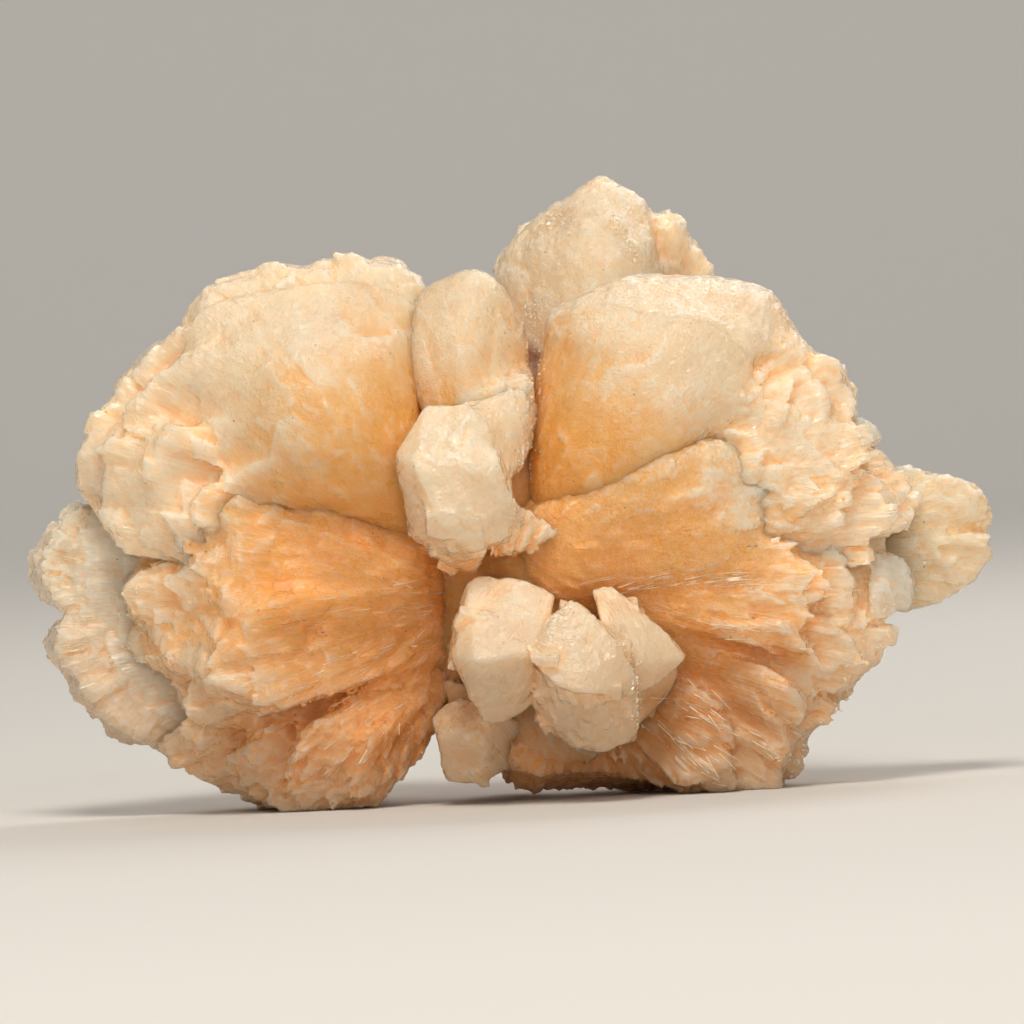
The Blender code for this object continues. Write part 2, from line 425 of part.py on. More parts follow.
def crystals_of_the_rear():
    """The crystals of the side away from the viewer, each as its own closed bmesh."""
    shapes = [crystal(faces, back) for back, faces in REAR_CRYSTALS.values()]
    for name in REAR_SHEAVES:
        root, blades = SHEAVES[name]
        for number, (thickness, *tips) in enumerate(blades):
            turned = [rear_tip(tip, number) for tip in tips]
            shapes.append(blade(rear_tip(root, number), turned, thickness + REAR_THICKER, rear=True))
    return shapes


def mesh_object(name, shapes):
    """One object that holds all the shapes side by side, still overlapping."""
    mesh = bpy.data.meshes.new(name)
    joined = bmesh.new()
    for shape in shapes:
        single = bpy.data.meshes.new("single")
        shape.to_mesh(single)
        shape.free()
        joined.from_mesh(single)
        bpy.data.meshes.remove(single)
    joined.to_mesh(mesh)
    joined.free()
    made = bpy.data.objects.new(name, mesh)
    bpy.context.scene.collection.objects.link(made)
    return made


def helper(name, shape):
    """An object that a Boolean reads and that is never drawn."""
    made = mesh_object(name, [shape])
    made.hide_render = True
    made.display_type = "WIRE"
    return made


def floor_block():
    """A block whose top is the surface that the cluster stands on."""
    shape = bmesh.new()
    bmesh.ops.create_cube(shape, size=1)
    bmesh.ops.scale(shape, vec=Vector((FLOOR_SIZE, FLOOR_SIZE, FLOOR_THICKNESS)) * MM, verts=shape.verts)
    bmesh.ops.translate(shape, vec=Vector((0, 0, -FLOOR_THICKNESS / 2)) * MM, verts=shape.verts)
    return shape


def boolean(owner, name, other, operation):
    """A Boolean modifier that joins or cuts its owner with another object."""
    made = owner.modifiers.new(name, "BOOLEAN")
    made.operation = operation
    made.solver = "EXACT"
    made.object = other
    return made


def stilbite():
    """The material: pale salmon crystal with a soft pearly surface."""
    made = bpy.data.materials.new("stilbite")
    made.use_nodes = True
    shader = made.node_tree.nodes["Principled BSDF"]
    shader.inputs["Base Color"].default_value = (0.80, 0.50, 0.28, 1)
    shader.inputs["Roughness"].default_value = 0.4
    shader.inputs["Metallic"].default_value = 0.0
    return made


def main():
    for old in list(bpy.data.objects):
        bpy.data.objects.remove(old)
    cluster = mesh_object("stilbite_cluster", crystals_of_the_front() + crystals_of_the_rear())
    cluster.data.materials.append(stilbite())
    back, faces = WAIST_MASS
    joined = boolean(cluster, "grown together", helper("waist_mass", crystal(faces, back)), "UNION")
    joined.use_self = True
    boolean(cluster, "stands flat", helper("floor", floor_block()), "DIFFERENCE")


main()
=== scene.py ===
"""The looks of the stilbite cluster: fine striated crystals in place of its plain solid.

Each crystal of the solid is made again from the same corners, as a bundle of slats or as a soft dome.
The crystals of one region are blended in a field of distances, with overlapping laths on them, which gives
one skin. The skin is then grooved along the fibres that fan out from the waist. Corners are in the front
view's frame, in millimetres: how far across from the left, how far down from the top, and how far forward
of the middle.
"""

import math
from collections import namedtuple
from concurrent.futures import ThreadPoolExecutor

import bmesh
import bpy
import numpy as np
from mathutils import Matrix, Vector


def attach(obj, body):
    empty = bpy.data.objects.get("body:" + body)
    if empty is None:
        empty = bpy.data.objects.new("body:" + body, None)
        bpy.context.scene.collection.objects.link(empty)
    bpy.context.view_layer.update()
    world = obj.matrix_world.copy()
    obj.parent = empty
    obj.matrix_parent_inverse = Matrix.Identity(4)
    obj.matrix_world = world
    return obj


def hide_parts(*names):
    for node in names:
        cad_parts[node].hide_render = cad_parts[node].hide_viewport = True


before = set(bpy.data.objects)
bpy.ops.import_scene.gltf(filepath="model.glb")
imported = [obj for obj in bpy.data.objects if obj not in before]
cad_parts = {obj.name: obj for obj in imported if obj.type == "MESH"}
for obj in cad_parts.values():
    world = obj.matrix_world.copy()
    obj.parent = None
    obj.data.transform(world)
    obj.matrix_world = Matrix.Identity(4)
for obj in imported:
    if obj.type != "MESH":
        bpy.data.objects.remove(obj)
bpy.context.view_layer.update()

MM = 0.001
NODE = "stilbite_cluster"
BODY = "root"

# How the front view's frame is set on the surface that the cluster stands on, in millimetres.
STANCE_DEG = 2.75
STANCE_PIVOT = (32.5, 80.7)
STANCE_AT = (-20.42, 0.75)

# The front view's frame of the photograph, in the same millimetres.
VIEW_WIDTH = 102.4
VIEW_CENTRE = (51.2, 51.2)
VIEW_ELEVATION_DEG = 1.5
LENS_MM = 400
SENSOR_MM = 36

# How a blade is shaped between its waist and its tip, in millimetres.
TIP_BEVEL = 0.7
ROOT_HALF_WIDTH = 1.4
ROOT_THICKNESS = 2.5
BACK_TAPER = 0.45
EDGE_INSET = 0.12
WEB_REACH = 0.95
WEB_DROP = 0.8
SLAT_HALF_WIDTH = 0.7
# How unevenly a blade is split into slats, how far its slats lie out of it in millimetres, and how much
# longer than it they are, then the same two and half the width for the shorter slats that lie on it.
SPLIT_UNEVEN = 0.28
SLAT_LIFT, SLAT_LONGER = (-0.25, 0.45), (-0.05, 0.008)
UPPER_LIFT, UPPER_REACH, UPPER_HALF_WIDTH = (0.05, 0.45), (0.78, 0.965), (0.35, 0.8)

# The rear repeats the front's blades, turned about the waist and a little shorter.
WAIST = (48.0, 58.5)
REAR_PARTS = ("crest", "shoulder", "middle", "lower", "foot")
REAR_REACH = 0.93
REAR_TURN_DEG = (4.0, -3.0, 1.0)
REAR_DEPTH = 0.85
REAR_STEP_BACK = 1.5
REAR_THICKER = 2.0

# Sheaf by sheaf: the root all its blades grow from, then each blade's thickness and tip corners, each
# corner as across, down and forward.
SHEAVES = {
    "left_crest": ((45.5, 54.5, 1), """
        7: 31 27 7, 31.6 25.4 7, 36 25.8 7, 39.2 27.4 6.5
        6: 38.9 27.2 7.5, 39.8 26.4 7.5, 42.3 27.9 7.5, 42.6 29.4 7.5
        7: 25.5 28 8, 26.2 26.8 8, 27.2 26.4 8, 31.2 27 8
        7: 20.6 29 8, 21 28.5 8, 24.4 28.2 8, 25.6 27.8 8
        7: 18.6 32.6 7, 18.7 31.6 7, 19.6 30.3 7, 20.8 29 7
    """),
    "left_shoulder": ((46, 55, 2), """
        8: 14 35.9 8, 15.3 34 8, 18.7 32.8 8
        7: 11.8 40.2 7, 11.5 39 7, 12.6 37 7, 14 35.7 7
        8: 8.7 43.2 7, 9.2 41.2 7, 12 40 7
        8: 7 47.5 6, 7 44.8 7, 8.7 42.9 7
        6: 8.2 50.2 4, 7.1 48.8 5, 6.9 47.2 5
        5: 12.6 42.5 10, 12.8 40.2 11, 15 37.6 11.5, 18.5 36 12
        5: 9.6 48 10, 9.8 45 11, 11.6 43.2 11.5
        5: 14.6 48 13, 14.6 45 13.5, 16.4 42.2 14
        5: 10.8 52.6 8.5, 9.4 50.4 8.5, 10.4 48.6 9.5
        5: 15.8 52.4 12, 14.4 50.6 12, 15.2 48.6 12.5
        4: 12 54.2 9.5, 11.4 52.4 10, 13.2 51.4 11
        4: 17.8 55.6 11, 13.8 53.6 11, 14.2 52.2 11.5
        4: 20.2 52.4 14, 19.4 50.6 14.5, 20.6 48.2 15
    """),
    "left_middle": ((46.5, 58.5, 3), """
        4: 22.8 56.2 12.5, 18.6 55.4 12.5, 18.4 53.2 13
        4: 25.4 53.4 13, 23.6 53.2 13.2, 22.4 50.8 14, 23 49.6 14.5
        4: 25 57 13.5, 23.3 56 14, 23.4 54.6 14
        7: 12 60.9 8.5, 11.4 59 9, 12.8 57.2 9, 16 56.4 9
        5: 14.8 63.8 7, 14.6 62 7.5, 15.4 60.8 7.5
        4: 24.8 61.2 14, 21.1 58.7 13.8, 22.6 57.7 13.6
        4: 22.8 64.2 15, 23.9 61.8 15.6, 26.4 60.4 15.6, 28.6 59.8 15.2
        6: 13 62.6 5, 12.4 64.4 5, 13.8 66.6 5
    """),
    "left_lower": ((46, 62, 3), """
        6: 19 68 7.5, 16.4 67.4 8, 15.4 65.4 8, 16.2 63.4 8
        5: 27.8 70.1 14.4, 24.4 69.2 14.6, 20.4 67.4 14.4, 22.4 63.2 14.6
        6: 23.6 72.4 8.5, 20.4 72.3 9, 18.1 71 9, 18.4 69.2 9.5, 20.6 67.8 10
        5: 25.4 73.2 8.5, 24 72.2 9, 24.2 70.6 9.5
    """),
    "left_foot": ((44.5, 66, 3), """
        5: 23.8 74.4 7, 20.8 75.4 7, 18.6 74.2 7.5, 17.7 72.6 8
        6: 20.6 77 3.5, 18.4 77 3.5, 16.8 76.2 4, 15.7 74.2 4
        6: 24.5 79.8 3, 21 79.2 3, 19 77.6 3.5
        5: 26.4 77 9, 25 76 9.5, 25 74.4 10, 26.6 73.2 10
        6: 27 80.2 5.5, 24.6 79.4 6, 23.2 77.4 6.5, 24 75.8 7
        6: 30.6 80.8 8.5, 28.4 78.8 10, 29.8 75.6 11.5, 31 72.5 12
        5: 37.6 79.4 9.5, 35.3 79.4 10.5, 35.6 77 12, 37 74.4 12.5
    """),
    "left_white_upper": ((16, 57.5, -1), """
        6: 8.6 51.2 1.5, 8.2 50.4 1.5, 6.2 52.6 2
        6: 6.3 53 3, 5.2 54.2 3.2, 4.5 55.6 3.4
        6: 4.5 55.8 3.8, 4.3 57.2 4, 4.4 58.4 4
        6: 4.5 58.4 3.6, 5.2 59.6 3.6, 6.4 60.5 3.4
        6: 6.2 60.4 2.4, 7.4 61 2.4, 8.8 60.2 2.4
    """),
    "left_white_lower": ((22, 63, 0), """
        6: 8.4 60.8 3, 7.4 61.2 3, 5.8 62.4 3.5
        6: 5.6 62.6 4.5, 5 64.2 5, 5.5 65.6 5
        6: 5.6 65.4 4.5, 6.6 66.6 4.8, 7.6 67.8 4.8
        6: 7.9 67.9 5.2, 8 68.9 5.4, 9.4 70.3 5.4
        6: 9.4 70.4 4.6, 10.6 71.8 4.6, 11.8 72.6 4.6
        6: 11.6 72.5 5.2, 13.2 73.6 5, 14.6 74 5
        6: 14.2 73.9 3.6, 16.2 74.6 3.6, 17.8 73.8 3.6
    """),
    "summit_sides": ((60, 45, -12), """
        7: 65.2 21.6 -6.6, 66.4 21.2 -6.8, 67.4 21 -7.1, 68.6 22.4 -7
        8: 68.4 22.2 -9, 70.4 24.8 -9, 72 27.6 -9, 72 29.2 -9
        8: 49.2 27.6 -13, 50.2 24.8 -13, 53 21.8 -13
    """),
    "right_crest": ((51.5, 52, 2), """
        8: 72.4 29.2 5, 74.5 29.4 5, 76.6 29.9 5
        7: 76.4 30 7, 77.6 31.6 7, 78.8 33.6 7, 79.6 34.5 7
        7: 79 37 9, 79.6 34.6 9, 83 35.7 8, 84.6 36.7 8
        7: 84.4 36.9 7, 86 38.8 7, 86.1 41.2 7
        5: 82.6 43.6 10, 83.4 40.4 10, 82 37.4 9.5
        6: 77.2 45.4 11.5, 78.4 42 11.5, 79.2 37.8 11
        6: 75.6 47 13, 76.8 43.5 12.5, 76 39.6 11.5
        5: 82.4 49.8 11.5, 85.2 47.2 11.5, 87.4 45.2 10, 86.4 42.4 9.5
    """),
    "right_shoulder": ((53, 54, 1), """
        9: 86.6 42.4 4, 88.2 44.2 5, 90.2 46.2 5, 91.2 48 4
        8: 91.6 47.6 4.5, 92.4 50 4.5, 91.3 52.6 4.5
        6: 87.4 47.2 8.5, 89.4 49.6 9, 88.8 52.6 8.5
        6: 84.2 52.4 10.5, 85 49.4 10.5, 86.6 47.8 10
        6: 66 51.2 12, 73.6 49.4 13, 75.6 46.8 13
        5: 64 54.2 9.5, 76.6 54.2 11, 79.2 52.4 11.5, 81.6 49.4 11.5, 83 46.6 11
        7: 82.4 52.8 9, 86.4 53.4 8, 87.2 56.2 7.5
    """),
    "right_fibres": ((52, 57.4, 5), """
        4: 74 54.4 12.2, 79.6 54 11.4, 80.6 56.4 11.2
        4: 72 57 12.6, 82.4 56.7 11, 83 59 10.6
        4: 70 59.4 12.8, 80.6 59.2 11.6, 81.2 61.6 11.2, 74 62 12
        4: 71 62.4 12.8, 79 62.4 11.8, 80.4 64.8 11.2
    """),
    "right_middle": ((53.5, 58.5, 3), """
        7: 84.4 55 8.5, 86 58 8.5, 85.8 61 8
        7: 86.8 58.4 5, 88 60 5, 88.2 62.2 5
        9: 88.9 61.2 5, 89.6 63.8 6, 88.8 65.8 6, 86.4 68.2 6
        7: 85 63.4 9, 86.6 65.6 8.5, 84.6 68.6 8
        6: 80.8 64.4 9.5, 82.4 66.8 9, 81.4 69.4 8.5
    """),
    "right_lower": ((56, 62.5, 3), """
        6: 77.8 66.9 11.5, 79.4 68.6 11.5, 80.4 70.6 11, 79.8 72.2 10.5
        7: 82.8 69.8 6.5, 84.2 70.9 6.5, 82.6 72.2 6.5, 80.2 72.8 6.5
        7: 85.2 68.8 2.5, 85 70 2.5, 83.6 71.6 2.5
        5: 78.8 73.2 9, 79.5 74.6 9, 78.2 75.8 9
        7: 81.4 73.4 4.5, 81.2 75.2 4.5, 80.4 76.6 4.5, 78.6 78 4
        6: 77.6 75.3 7.5, 78 77 7.5, 76.6 78.9 7, 74 78.3 7
    """),
    "right_foot": ((57, 66, 4), """
        7: 71 69.4 13, 72.6 72 13, 73 75.8 12, 70.2 77.4 11.5, 68.2 78.3 11
        7: 67.6 78.2 5, 64 76.8 5, 60 75.3 5
        5: 51.2 74.6 12, 52.4 76.2 12, 54.4 76.9 12
        5: 54 76.6 10.5, 56.4 76.2 10, 58.6 75.6 9.5
    """),
}

# Single crystals with corners of their own: how far each is carried back, then its front corners.
CRYSTALS = {
    "left_dome": (14, """
        20 33.5 9.5, 22.5 31 9.5, 29 29.8 9.5, 34 28.8 9, 38 29.8 9, 41 31.2 9.5, 41.4 36 12,
        42.4 41 13.5, 41.5 50 13, 42.5 54.8 10, 37 52.2 12.5, 30 49.7 13.5, 24.3 47.2 12.5, 21.5 42 11.5,
        20 37.5 10.5, 25 35 14, 30 32.6 13, 36 33 13, 39.2 38 15.4, 40 45 16.4, 36.6 49.4 15.8,
        30 46.8 16.8, 25 43.4 15.6, 29 37 17.8, 34 37 18, 36.2 42 18.6, 31.8 43.8 18.8, 28.2 41 18
    """),
    "middle_dome": (12, """
        41.2 30.5 9, 43 28.4 9, 46.6 26.9 10, 48.8 27.2 10, 50.6 29 10, 52.4 31.4 9, 53.1 34.5 8,
        53 38.5 9, 50.5 42 12, 44 43 12.5, 41.5 40 12, 40.8 35.5 11, 46.5 32.5 14, 47 38 15
    """),
    "middle_plate": (10, """
        46.2 40.2 15, 48.2 38.6 14.5, 51.2 37.4 13.5, 53.2 37.2 12, 53.4 40.5 12.5, 52.8 43 13.5,
        53 44.5 12.5, 50.5 48 15, 47 45 16
    """),
    "upper_block": (13, """
        42.8 40.2 17.5, 46.6 40.6 17.5, 48.4 42.8 18, 49.8 45.9 20.5, 41.6 46.2 21, 39.7 45.1 18.5,
        44.2 51.6 21, 47.2 54.2 19.5, 50.4 53.6 18, 51.6 50.6 18, 50.4 47.8 20, 40.6 49 17,
        41.4 53.4 14.5, 44.2 55.2 14.5
    """),
    "upper_block_heel": (10, """
        44.2 51 20.6, 47.6 51.4 20.4, 48.4 54.6 18.5, 47.6 56.8 15, 45.2 56.2 15, 43.4 54.4 16
    """),
    "upper_block_ledge": (9, """
        50.4 50.4 17, 52.8 50.8 16.5, 54.8 52.2 14.5, 55.2 53.6 13.5, 52.6 54.6 14.5, 49.6 55 15.5
    """),
    "upper_block_bridge": (8, """
        46.6 41 17.2, 49 39.4 15.6, 52.6 38.6 13.6, 53.2 43.6 13.4, 51.8 46.8 15.4, 49.6 46.4 18.6,
        47.4 44.4 18.6
    """),
    "summit_dome": (0, """
        60.4 17.1 -8, 58.2 18.2 -8, 55.2 20.7 -8, 53 21.8 -9, 50.4 24.4 -9, 49.2 27.4 -10, 52 34 -4,
        54 25 -4.5, 57.4 22 -4, 61.3 21.7 -4, 62.8 25 -1.5, 65 27.2 -2.5, 62.6 19.2 -8, 65.4 21.2 -8,
        58 27 -1, 58 36 1, 66 34 -3, 60.2 18.6 -14, 56 21.6 -15, 51.6 26 -15, 65 23 -14, 61 24 -19,
        56.4 27 -20, 64.4 29 -19, 60 33 -21.5, 54 33 -18, 67 34 -16, 60 42 -19, 54 42 -14, 66 44 -14
    """),
    "right_dome": (14, """
        53.6 36.5 9, 54.3 33.6 9, 56 31.7 10, 59.5 30.6 11, 62 32.2 12.5, 66 31.8 12.5, 72 33 11,
        74 36.5 11, 73 40.5 12.5, 70.2 43.3 14, 65.2 47.8 14.5, 58 51 13, 52.4 51.4 10, 52.2 47 9,
        53.6 41 9, 58 34 13.6, 64 34.2 14.8, 69.5 35.2 14.2, 70.8 39 14.8, 67 43.4 16, 61 47.6 15.8,
        56 47 14.6, 55.4 41 13.4, 56 36.5 12.4, 60.5 37.5 15.8, 65.5 37.6 16.2, 66 41 16.8,
        61.6 43.4 16.8, 59 41.2 16
    """),
    "right_brow": (14, """
        59.8 29.4 8.5, 61.2 27.8 8.5, 63 27.2 9, 70 27.8 8, 76.4 29.8 7, 77.6 31.6 7, 78 33.6 8,
        72 33.8 11.5, 65 32.6 13, 62 33.8 13, 57 31.4 10
    """),
    "waist_block_left": (14, """
        46.8 57.9 17, 47.8 57.2 16.5, 52 57.5 16.5, 55.4 59.1 16.5, 54 62.2 19.5, 53.2 64.4 21,
        48 65.2 22, 45.6 64.8 20, 45.1 65 18.5, 48.4 71.4 17, 50.4 71.4 17, 52.6 70.2 16.5,
        53.2 66.5 18.5, 45.2 62.6 16, 46.2 59.4 14.5
    """),
    "waist_block_middle": (12, """
        57 59.5 19.5, 58.2 59.9 19.5, 61.8 63.6 20.5, 63.4 66.6 20, 63.2 68.6 19.5, 58.8 68.4 23,
        55.8 67.8 22.5, 53.1 65.2 21, 54.6 61.6 19.5
    """),
    "waist_block_low": (14, """
        53.4 66.4 19, 55.8 67.6 21.6, 59 68.4 22, 63.4 67.4 19.5, 63.8 69.4 18, 63.8 71 17, 63.3 73.4 16,
        59.4 74.4 17, 57.2 74 16.5, 53.6 71.2 15.5
    """),
    "waist_block_right": (12, """
        59.2 58.6 14, 61 58.2 14, 66.2 62.5 15, 68.4 65.2 15, 66 67.4 15.5, 64 68.4 16.5, 62.6 65.6 18.8,
        60 61.4 17.6
    """),
    "waist_block_shadowed": (10, """
        63.6 68 13, 67.6 66.4 12, 67 68.6 11, 64.6 71.2 11, 63.6 72 12
    """),
    "small_block_left": (12, """
        43.3 71.6 10.5, 44.8 70 10.5, 46.4 69.4 11, 49.4 70.4 14, 48.4 73.2 14, 44.2 73 13, 44.1 74.5 12,
        44.8 77.6 10.5, 48 77.8 11, 51.8 76 10, 52.4 71.8 11
    """),
    "under_waist": (8, """
        44.5 68 8, 52 69 12, 58 72 12, 60 75 9, 52.5 76.3 10.5, 47 75.4 9
    """),
    "right_apron": (12, """
        49 52.5 10.4, 60 48.5 14.9, 67 45.5 15.2, 70.5 44 13.8, 76 48.5 10.8, 75 51.5 11.2, 66 56 11.6,
        57 58 11.2, 49 57.5 9.6
    """),
    "right_lap": (8, """
        47 50.5 9.6, 64 48 12.4, 76 46 11, 55 56.6 12.2, 64 56.4 12.4, 73 56 11.8, 79 54 9, 79 61 8.4,
        71 64.5 10.6, 62 63 11, 54 60 11.4, 47 61 9.6, 47 56 11.6
    """),
    "small_block_right": (6, """
        70.4 76.4 10.5, 72.6 76.2 10.5, 73.6 77.8 9.5, 71.6 79.3 9, 70.1 78.2 9.5
    """),
    "broken_sheaf_upper": (9, """
        84 49 -3, 90 46.5 -2, 93 47.2 -2, 96.6 48.2 -1.5, 98.6 49.4 -1.5, 99.4 51.2 -2, 98.9 53.2 -3,
        84 57 -3, 90 54.6 0, 93 49.6 0.5, 98 50.8 0
    """),
    "broken_sheaf_lower": (9, """
        84 56 -3, 90 54 0.8, 97 53.4 0.4, 98.8 53.6 0, 99.4 55.5 -0.5, 97 58.6 -1, 92 60.9 -1,
        90.4 61.2 -1, 84 61 -3
    """),
    "grey_bud": (6, """
        87 55.4 5.5, 90.2 55.7 5, 91.2 58 4.5, 90.6 60.8 4.5, 87.4 61 6
    """),
    "grey_sliver": (6, """
        85.6 41.8 5, 86.9 42.2 4.5, 87.7 43.4 4.5, 87.5 44.6 4.5, 86 44.8 5
    """),
    # Plain masses that fill the sheaves between the front and the rear blades.
    "left_core": (10, """
        47 46 6, 38 31 5, 24 31.5 4, 16 40 4, 12.5 47 4, 14 58 5, 16 66 5, 20 71 5, 25 76 4, 36 77.5 2,
        47 68 3, 33 52.5 13, 28 61 11.5, 41 57 11.5
    """),
    "left_rim_core": (6, """
        9.5 51 1, 6.6 55 2, 6.4 58.5 2, 9 61.5 2, 7.6 65 3, 10 69.5 3.4, 14 72.6 3.4, 18 72.6 3, 26 70 5,
        26 54 5, 16 52 4
    """),
    "right_core": (10, """
        46 47 5, 55 36 4, 64 31 4, 76 35 3, 85 43 3, 89 50 3, 87 56 4, 86 64 3, 80 73 2, 72 77 2,
        60.5 74 4, 46 68 3, 66 46.5 14, 72 57 12.4, 57 54.5 12.6
    """),
    "waist_mass": (14, """
        41 50 6, 42.4 39.2 9, 47.8 39.6 10.5, 52.5 42 8, 60 52 7, 61 60 8, 58 68 8, 52 70 8, 44 68 5,
        41 60 5, 51 56 12.5
    """),
    # The tips that the cluster stands on: three crystals deep under each sheaf.
    "left_front": (6.5, """
        27.6 80.3 7, 29.6 81.1 7.4, 33.8 81.2 7.6, 37.4 80 7.2, 40 77.6 7, 43 74.3 6, 46 64 5, 28 68 6
    """),
    "left_middle_foot": (6.6, """
        26.4 79.6 0.5, 28.8 81 0.8, 32.6 81.2 1, 36.6 80.8 0.6, 38.4 78.8 0, 41 74 0, 44 64 0, 27 68 0
    """),
    "left_rear": (6, """
        28.2 79.8 -6.5, 30.4 81.1 -6, 35.2 81.1 -6, 37.8 79.6 -6.5, 39.6 76.4 -7, 42 64 -5.2, 29 66 -5.2
    """),
    "right_front": (6.5, """
        63.5 76.4 7, 67.8 78.6 7.4, 70.6 79.4 7.6, 74.6 79.3 7.4, 77.4 78.4 7, 78.2 76 6.5, 76 66 5,
        58 62 6
    """),
    "right_middle_foot": (6.6, """
        66 77.4 0.5, 69.4 79.3 0.8, 73 79.4 1, 76.6 78.9 0.4, 77.6 76.6 0, 75 64 0, 59 62 0
    """),
    "right_rear": (6, """
        64.4 76.6 -6.5, 68 79.2 -6, 72.2 79.4 -6, 75.2 78.8 -6.4, 76.4 75.6 -7, 73 64 -5.2, 60 62 -5.2
    """),
    # Crystals of the side away from the viewer, carried forward into the cluster.
    "rear_left_dome": (-12, """
        17 36 -9, 22 31.5 -10, 30 30 -11, 38 31 -11, 42 36 -12, 43 45 -12, 38 52 -13, 28 50 -13,
        20 45 -11, 25 38 -16, 33 38 -19, 36 45 -18, 28 44 -17.5
    """),
    "rear_left_low_dome": (-10, """
        17 58 -8, 30 56 -12, 40 60 -10, 38 68 -10, 28 72 -10, 18 68 -8, 28 62 -16, 33 65 -15
    """),
    "rear_right_dome": (-12, """
        62 46 -12, 74 38 -11, 83 44 -8, 84 54 -8, 76 60 -10, 64 58 -12, 70 47 -19, 76 50 -17, 68 54 -17
    """),
    "rear_right_low_dome": (-10, """
        58 62 -10, 70 60 -11, 80 64 -7, 79 72 -6, 70 75 -7, 60 71 -9, 68 66 -15, 73 69 -13
    """),
    "rear_waist_block": (-12, """
        44 50 -9, 52 48 -11, 56 54 -11, 54 63 -10, 46 66 -9, 43 58 -9, 48 53 -17, 52 56 -18, 49 61 -16
    """),
    "rear_waist_low_block": (-10, """
        47 64 -8, 54 62 -9, 58 68 -8, 55 74 -6, 48 73 -6, 52 66 -14, 53 70 -12
    """),
}

# Which crystals each piece of the scene is made from, and its skin's fineness in millimetres.
PIECES = {
    "left_upper_sheaf": (0.27, ["left_crest", "left_shoulder", "left_dome"]),
    "left_lower_sheaf": (0.27, [
        "left_core", "left_middle", "left_lower", "left_foot", "left_front", "left_middle_foot", "left_rear",
    ]),
    "left_white_fans": (0.26, ["left_white_upper", "left_white_lower", "left_rim_core"]),
    "right_upper_sheaf": (0.27, ["right_crest", "right_shoulder", "right_brow", "right_dome"]),
    "right_lower_sheaf": (0.285, [
        "right_core", "right_apron", "right_lap", "right_fibres", "right_middle", "right_lower", "right_foot",
        "right_front", "right_middle_foot", "right_rear", "under_waist", "small_block_right", "grey_bud",
        "grey_sliver",
    ]),
    "summit_crystal": (0.30, ["summit_dome", "summit_sides"]),
    "crest_crystals": (0.27, ["middle_dome", "middle_plate"]),
    "waist_crystals": (0.25, [
        "upper_block", "upper_block_bridge", "upper_block_heel", "upper_block_ledge", "waist_block_left",
        "waist_block_middle", "waist_block_low", "waist_block_right", "waist_block_shadowed",
        "small_block_left",
    ]),
    "broken_sheaf": (0.30, ["broken_sheaf_upper", "broken_sheaf_lower"]),
    "rear_left_sheaf": (0.41, ["rear_left_dome", "rear_left_low_dome", "rear:left"]),
    "rear_right_sheaf": (0.41, ["rear_right_dome", "rear_right_low_dome", "rear:right"]),
    "rear_waist": (0.38, ["rear_waist_block", "rear_waist_low_block", "waist_mass"]),
}
# How many small crystals stand on each block, and half their size in millimetres.
STUDS = {
    "upper_block": (14, 1.6), "upper_block_heel": (18, 1.1), "upper_block_ledge": (22, 0.8),
    "waist_block_left": (10, 1.8), "waist_block_middle": (12, 1.6), "waist_block_low": (70, 1.0),
    "waist_block_right": (9, 1.5), "waist_block_shadowed": (8, 0.9), "small_block_left": (12, 1.4),
    "small_block_right": (8, 0.7), "middle_plate": (24, 1.0),
}
# Small crystals on the skin: how many, half their length, width and height in millimetres, the point that
# they fan out from or none, the line that they follow in the front view, and how far they stray from it.
DRUSE = [
    (420, (0.17, 0.09, 0.12), None, [(52.9, 30.0), (53.4, 36.0), (53.2, 41.0), (52.6, 46.0)], 0.7),
    (140, (0.17, 0.09, 0.12), None, [(52.6, 46.0), (51.4, 49.6), (52.4, 52.0)], 0.7),
    (140, (0.20, 0.12, 0.16), None, [(61.2, 21.9), (62.6, 24.0), (64.5, 26.6)], 0.7),
    (60, (0.26, 0.16, 0.20), None, [(54.0, 22.6), (56.0, 21.6), (58.0, 21.4)], 1.2),
    (90, (0.20, 0.12, 0.16), None, [(61.2, 62.0), (63.4, 65.6), (63.8, 68.6), (63.4, 72.6)], 0.5),
    (50, (0.18, 0.12, 0.14), None, [(53.6, 64.8), (54.6, 61.8), (57.0, 59.8)], 0.5),
    (60, (0.28, 0.15, 0.18), None, [(7.6, 47.0), (10.0, 52.6), (12.0, 59.0), (14.0, 66.0)], 2.4),
    (60, (0.28, 0.15, 0.18), None, [(86.0, 42.0), (89.6, 48.0), (90.6, 52.6)], 1.6),
    (70, (0.28, 0.15, 0.18), None, [(88.6, 60.0), (87.0, 66.0), (83.0, 71.6), (78.0, 78.0)], 1.6),
]
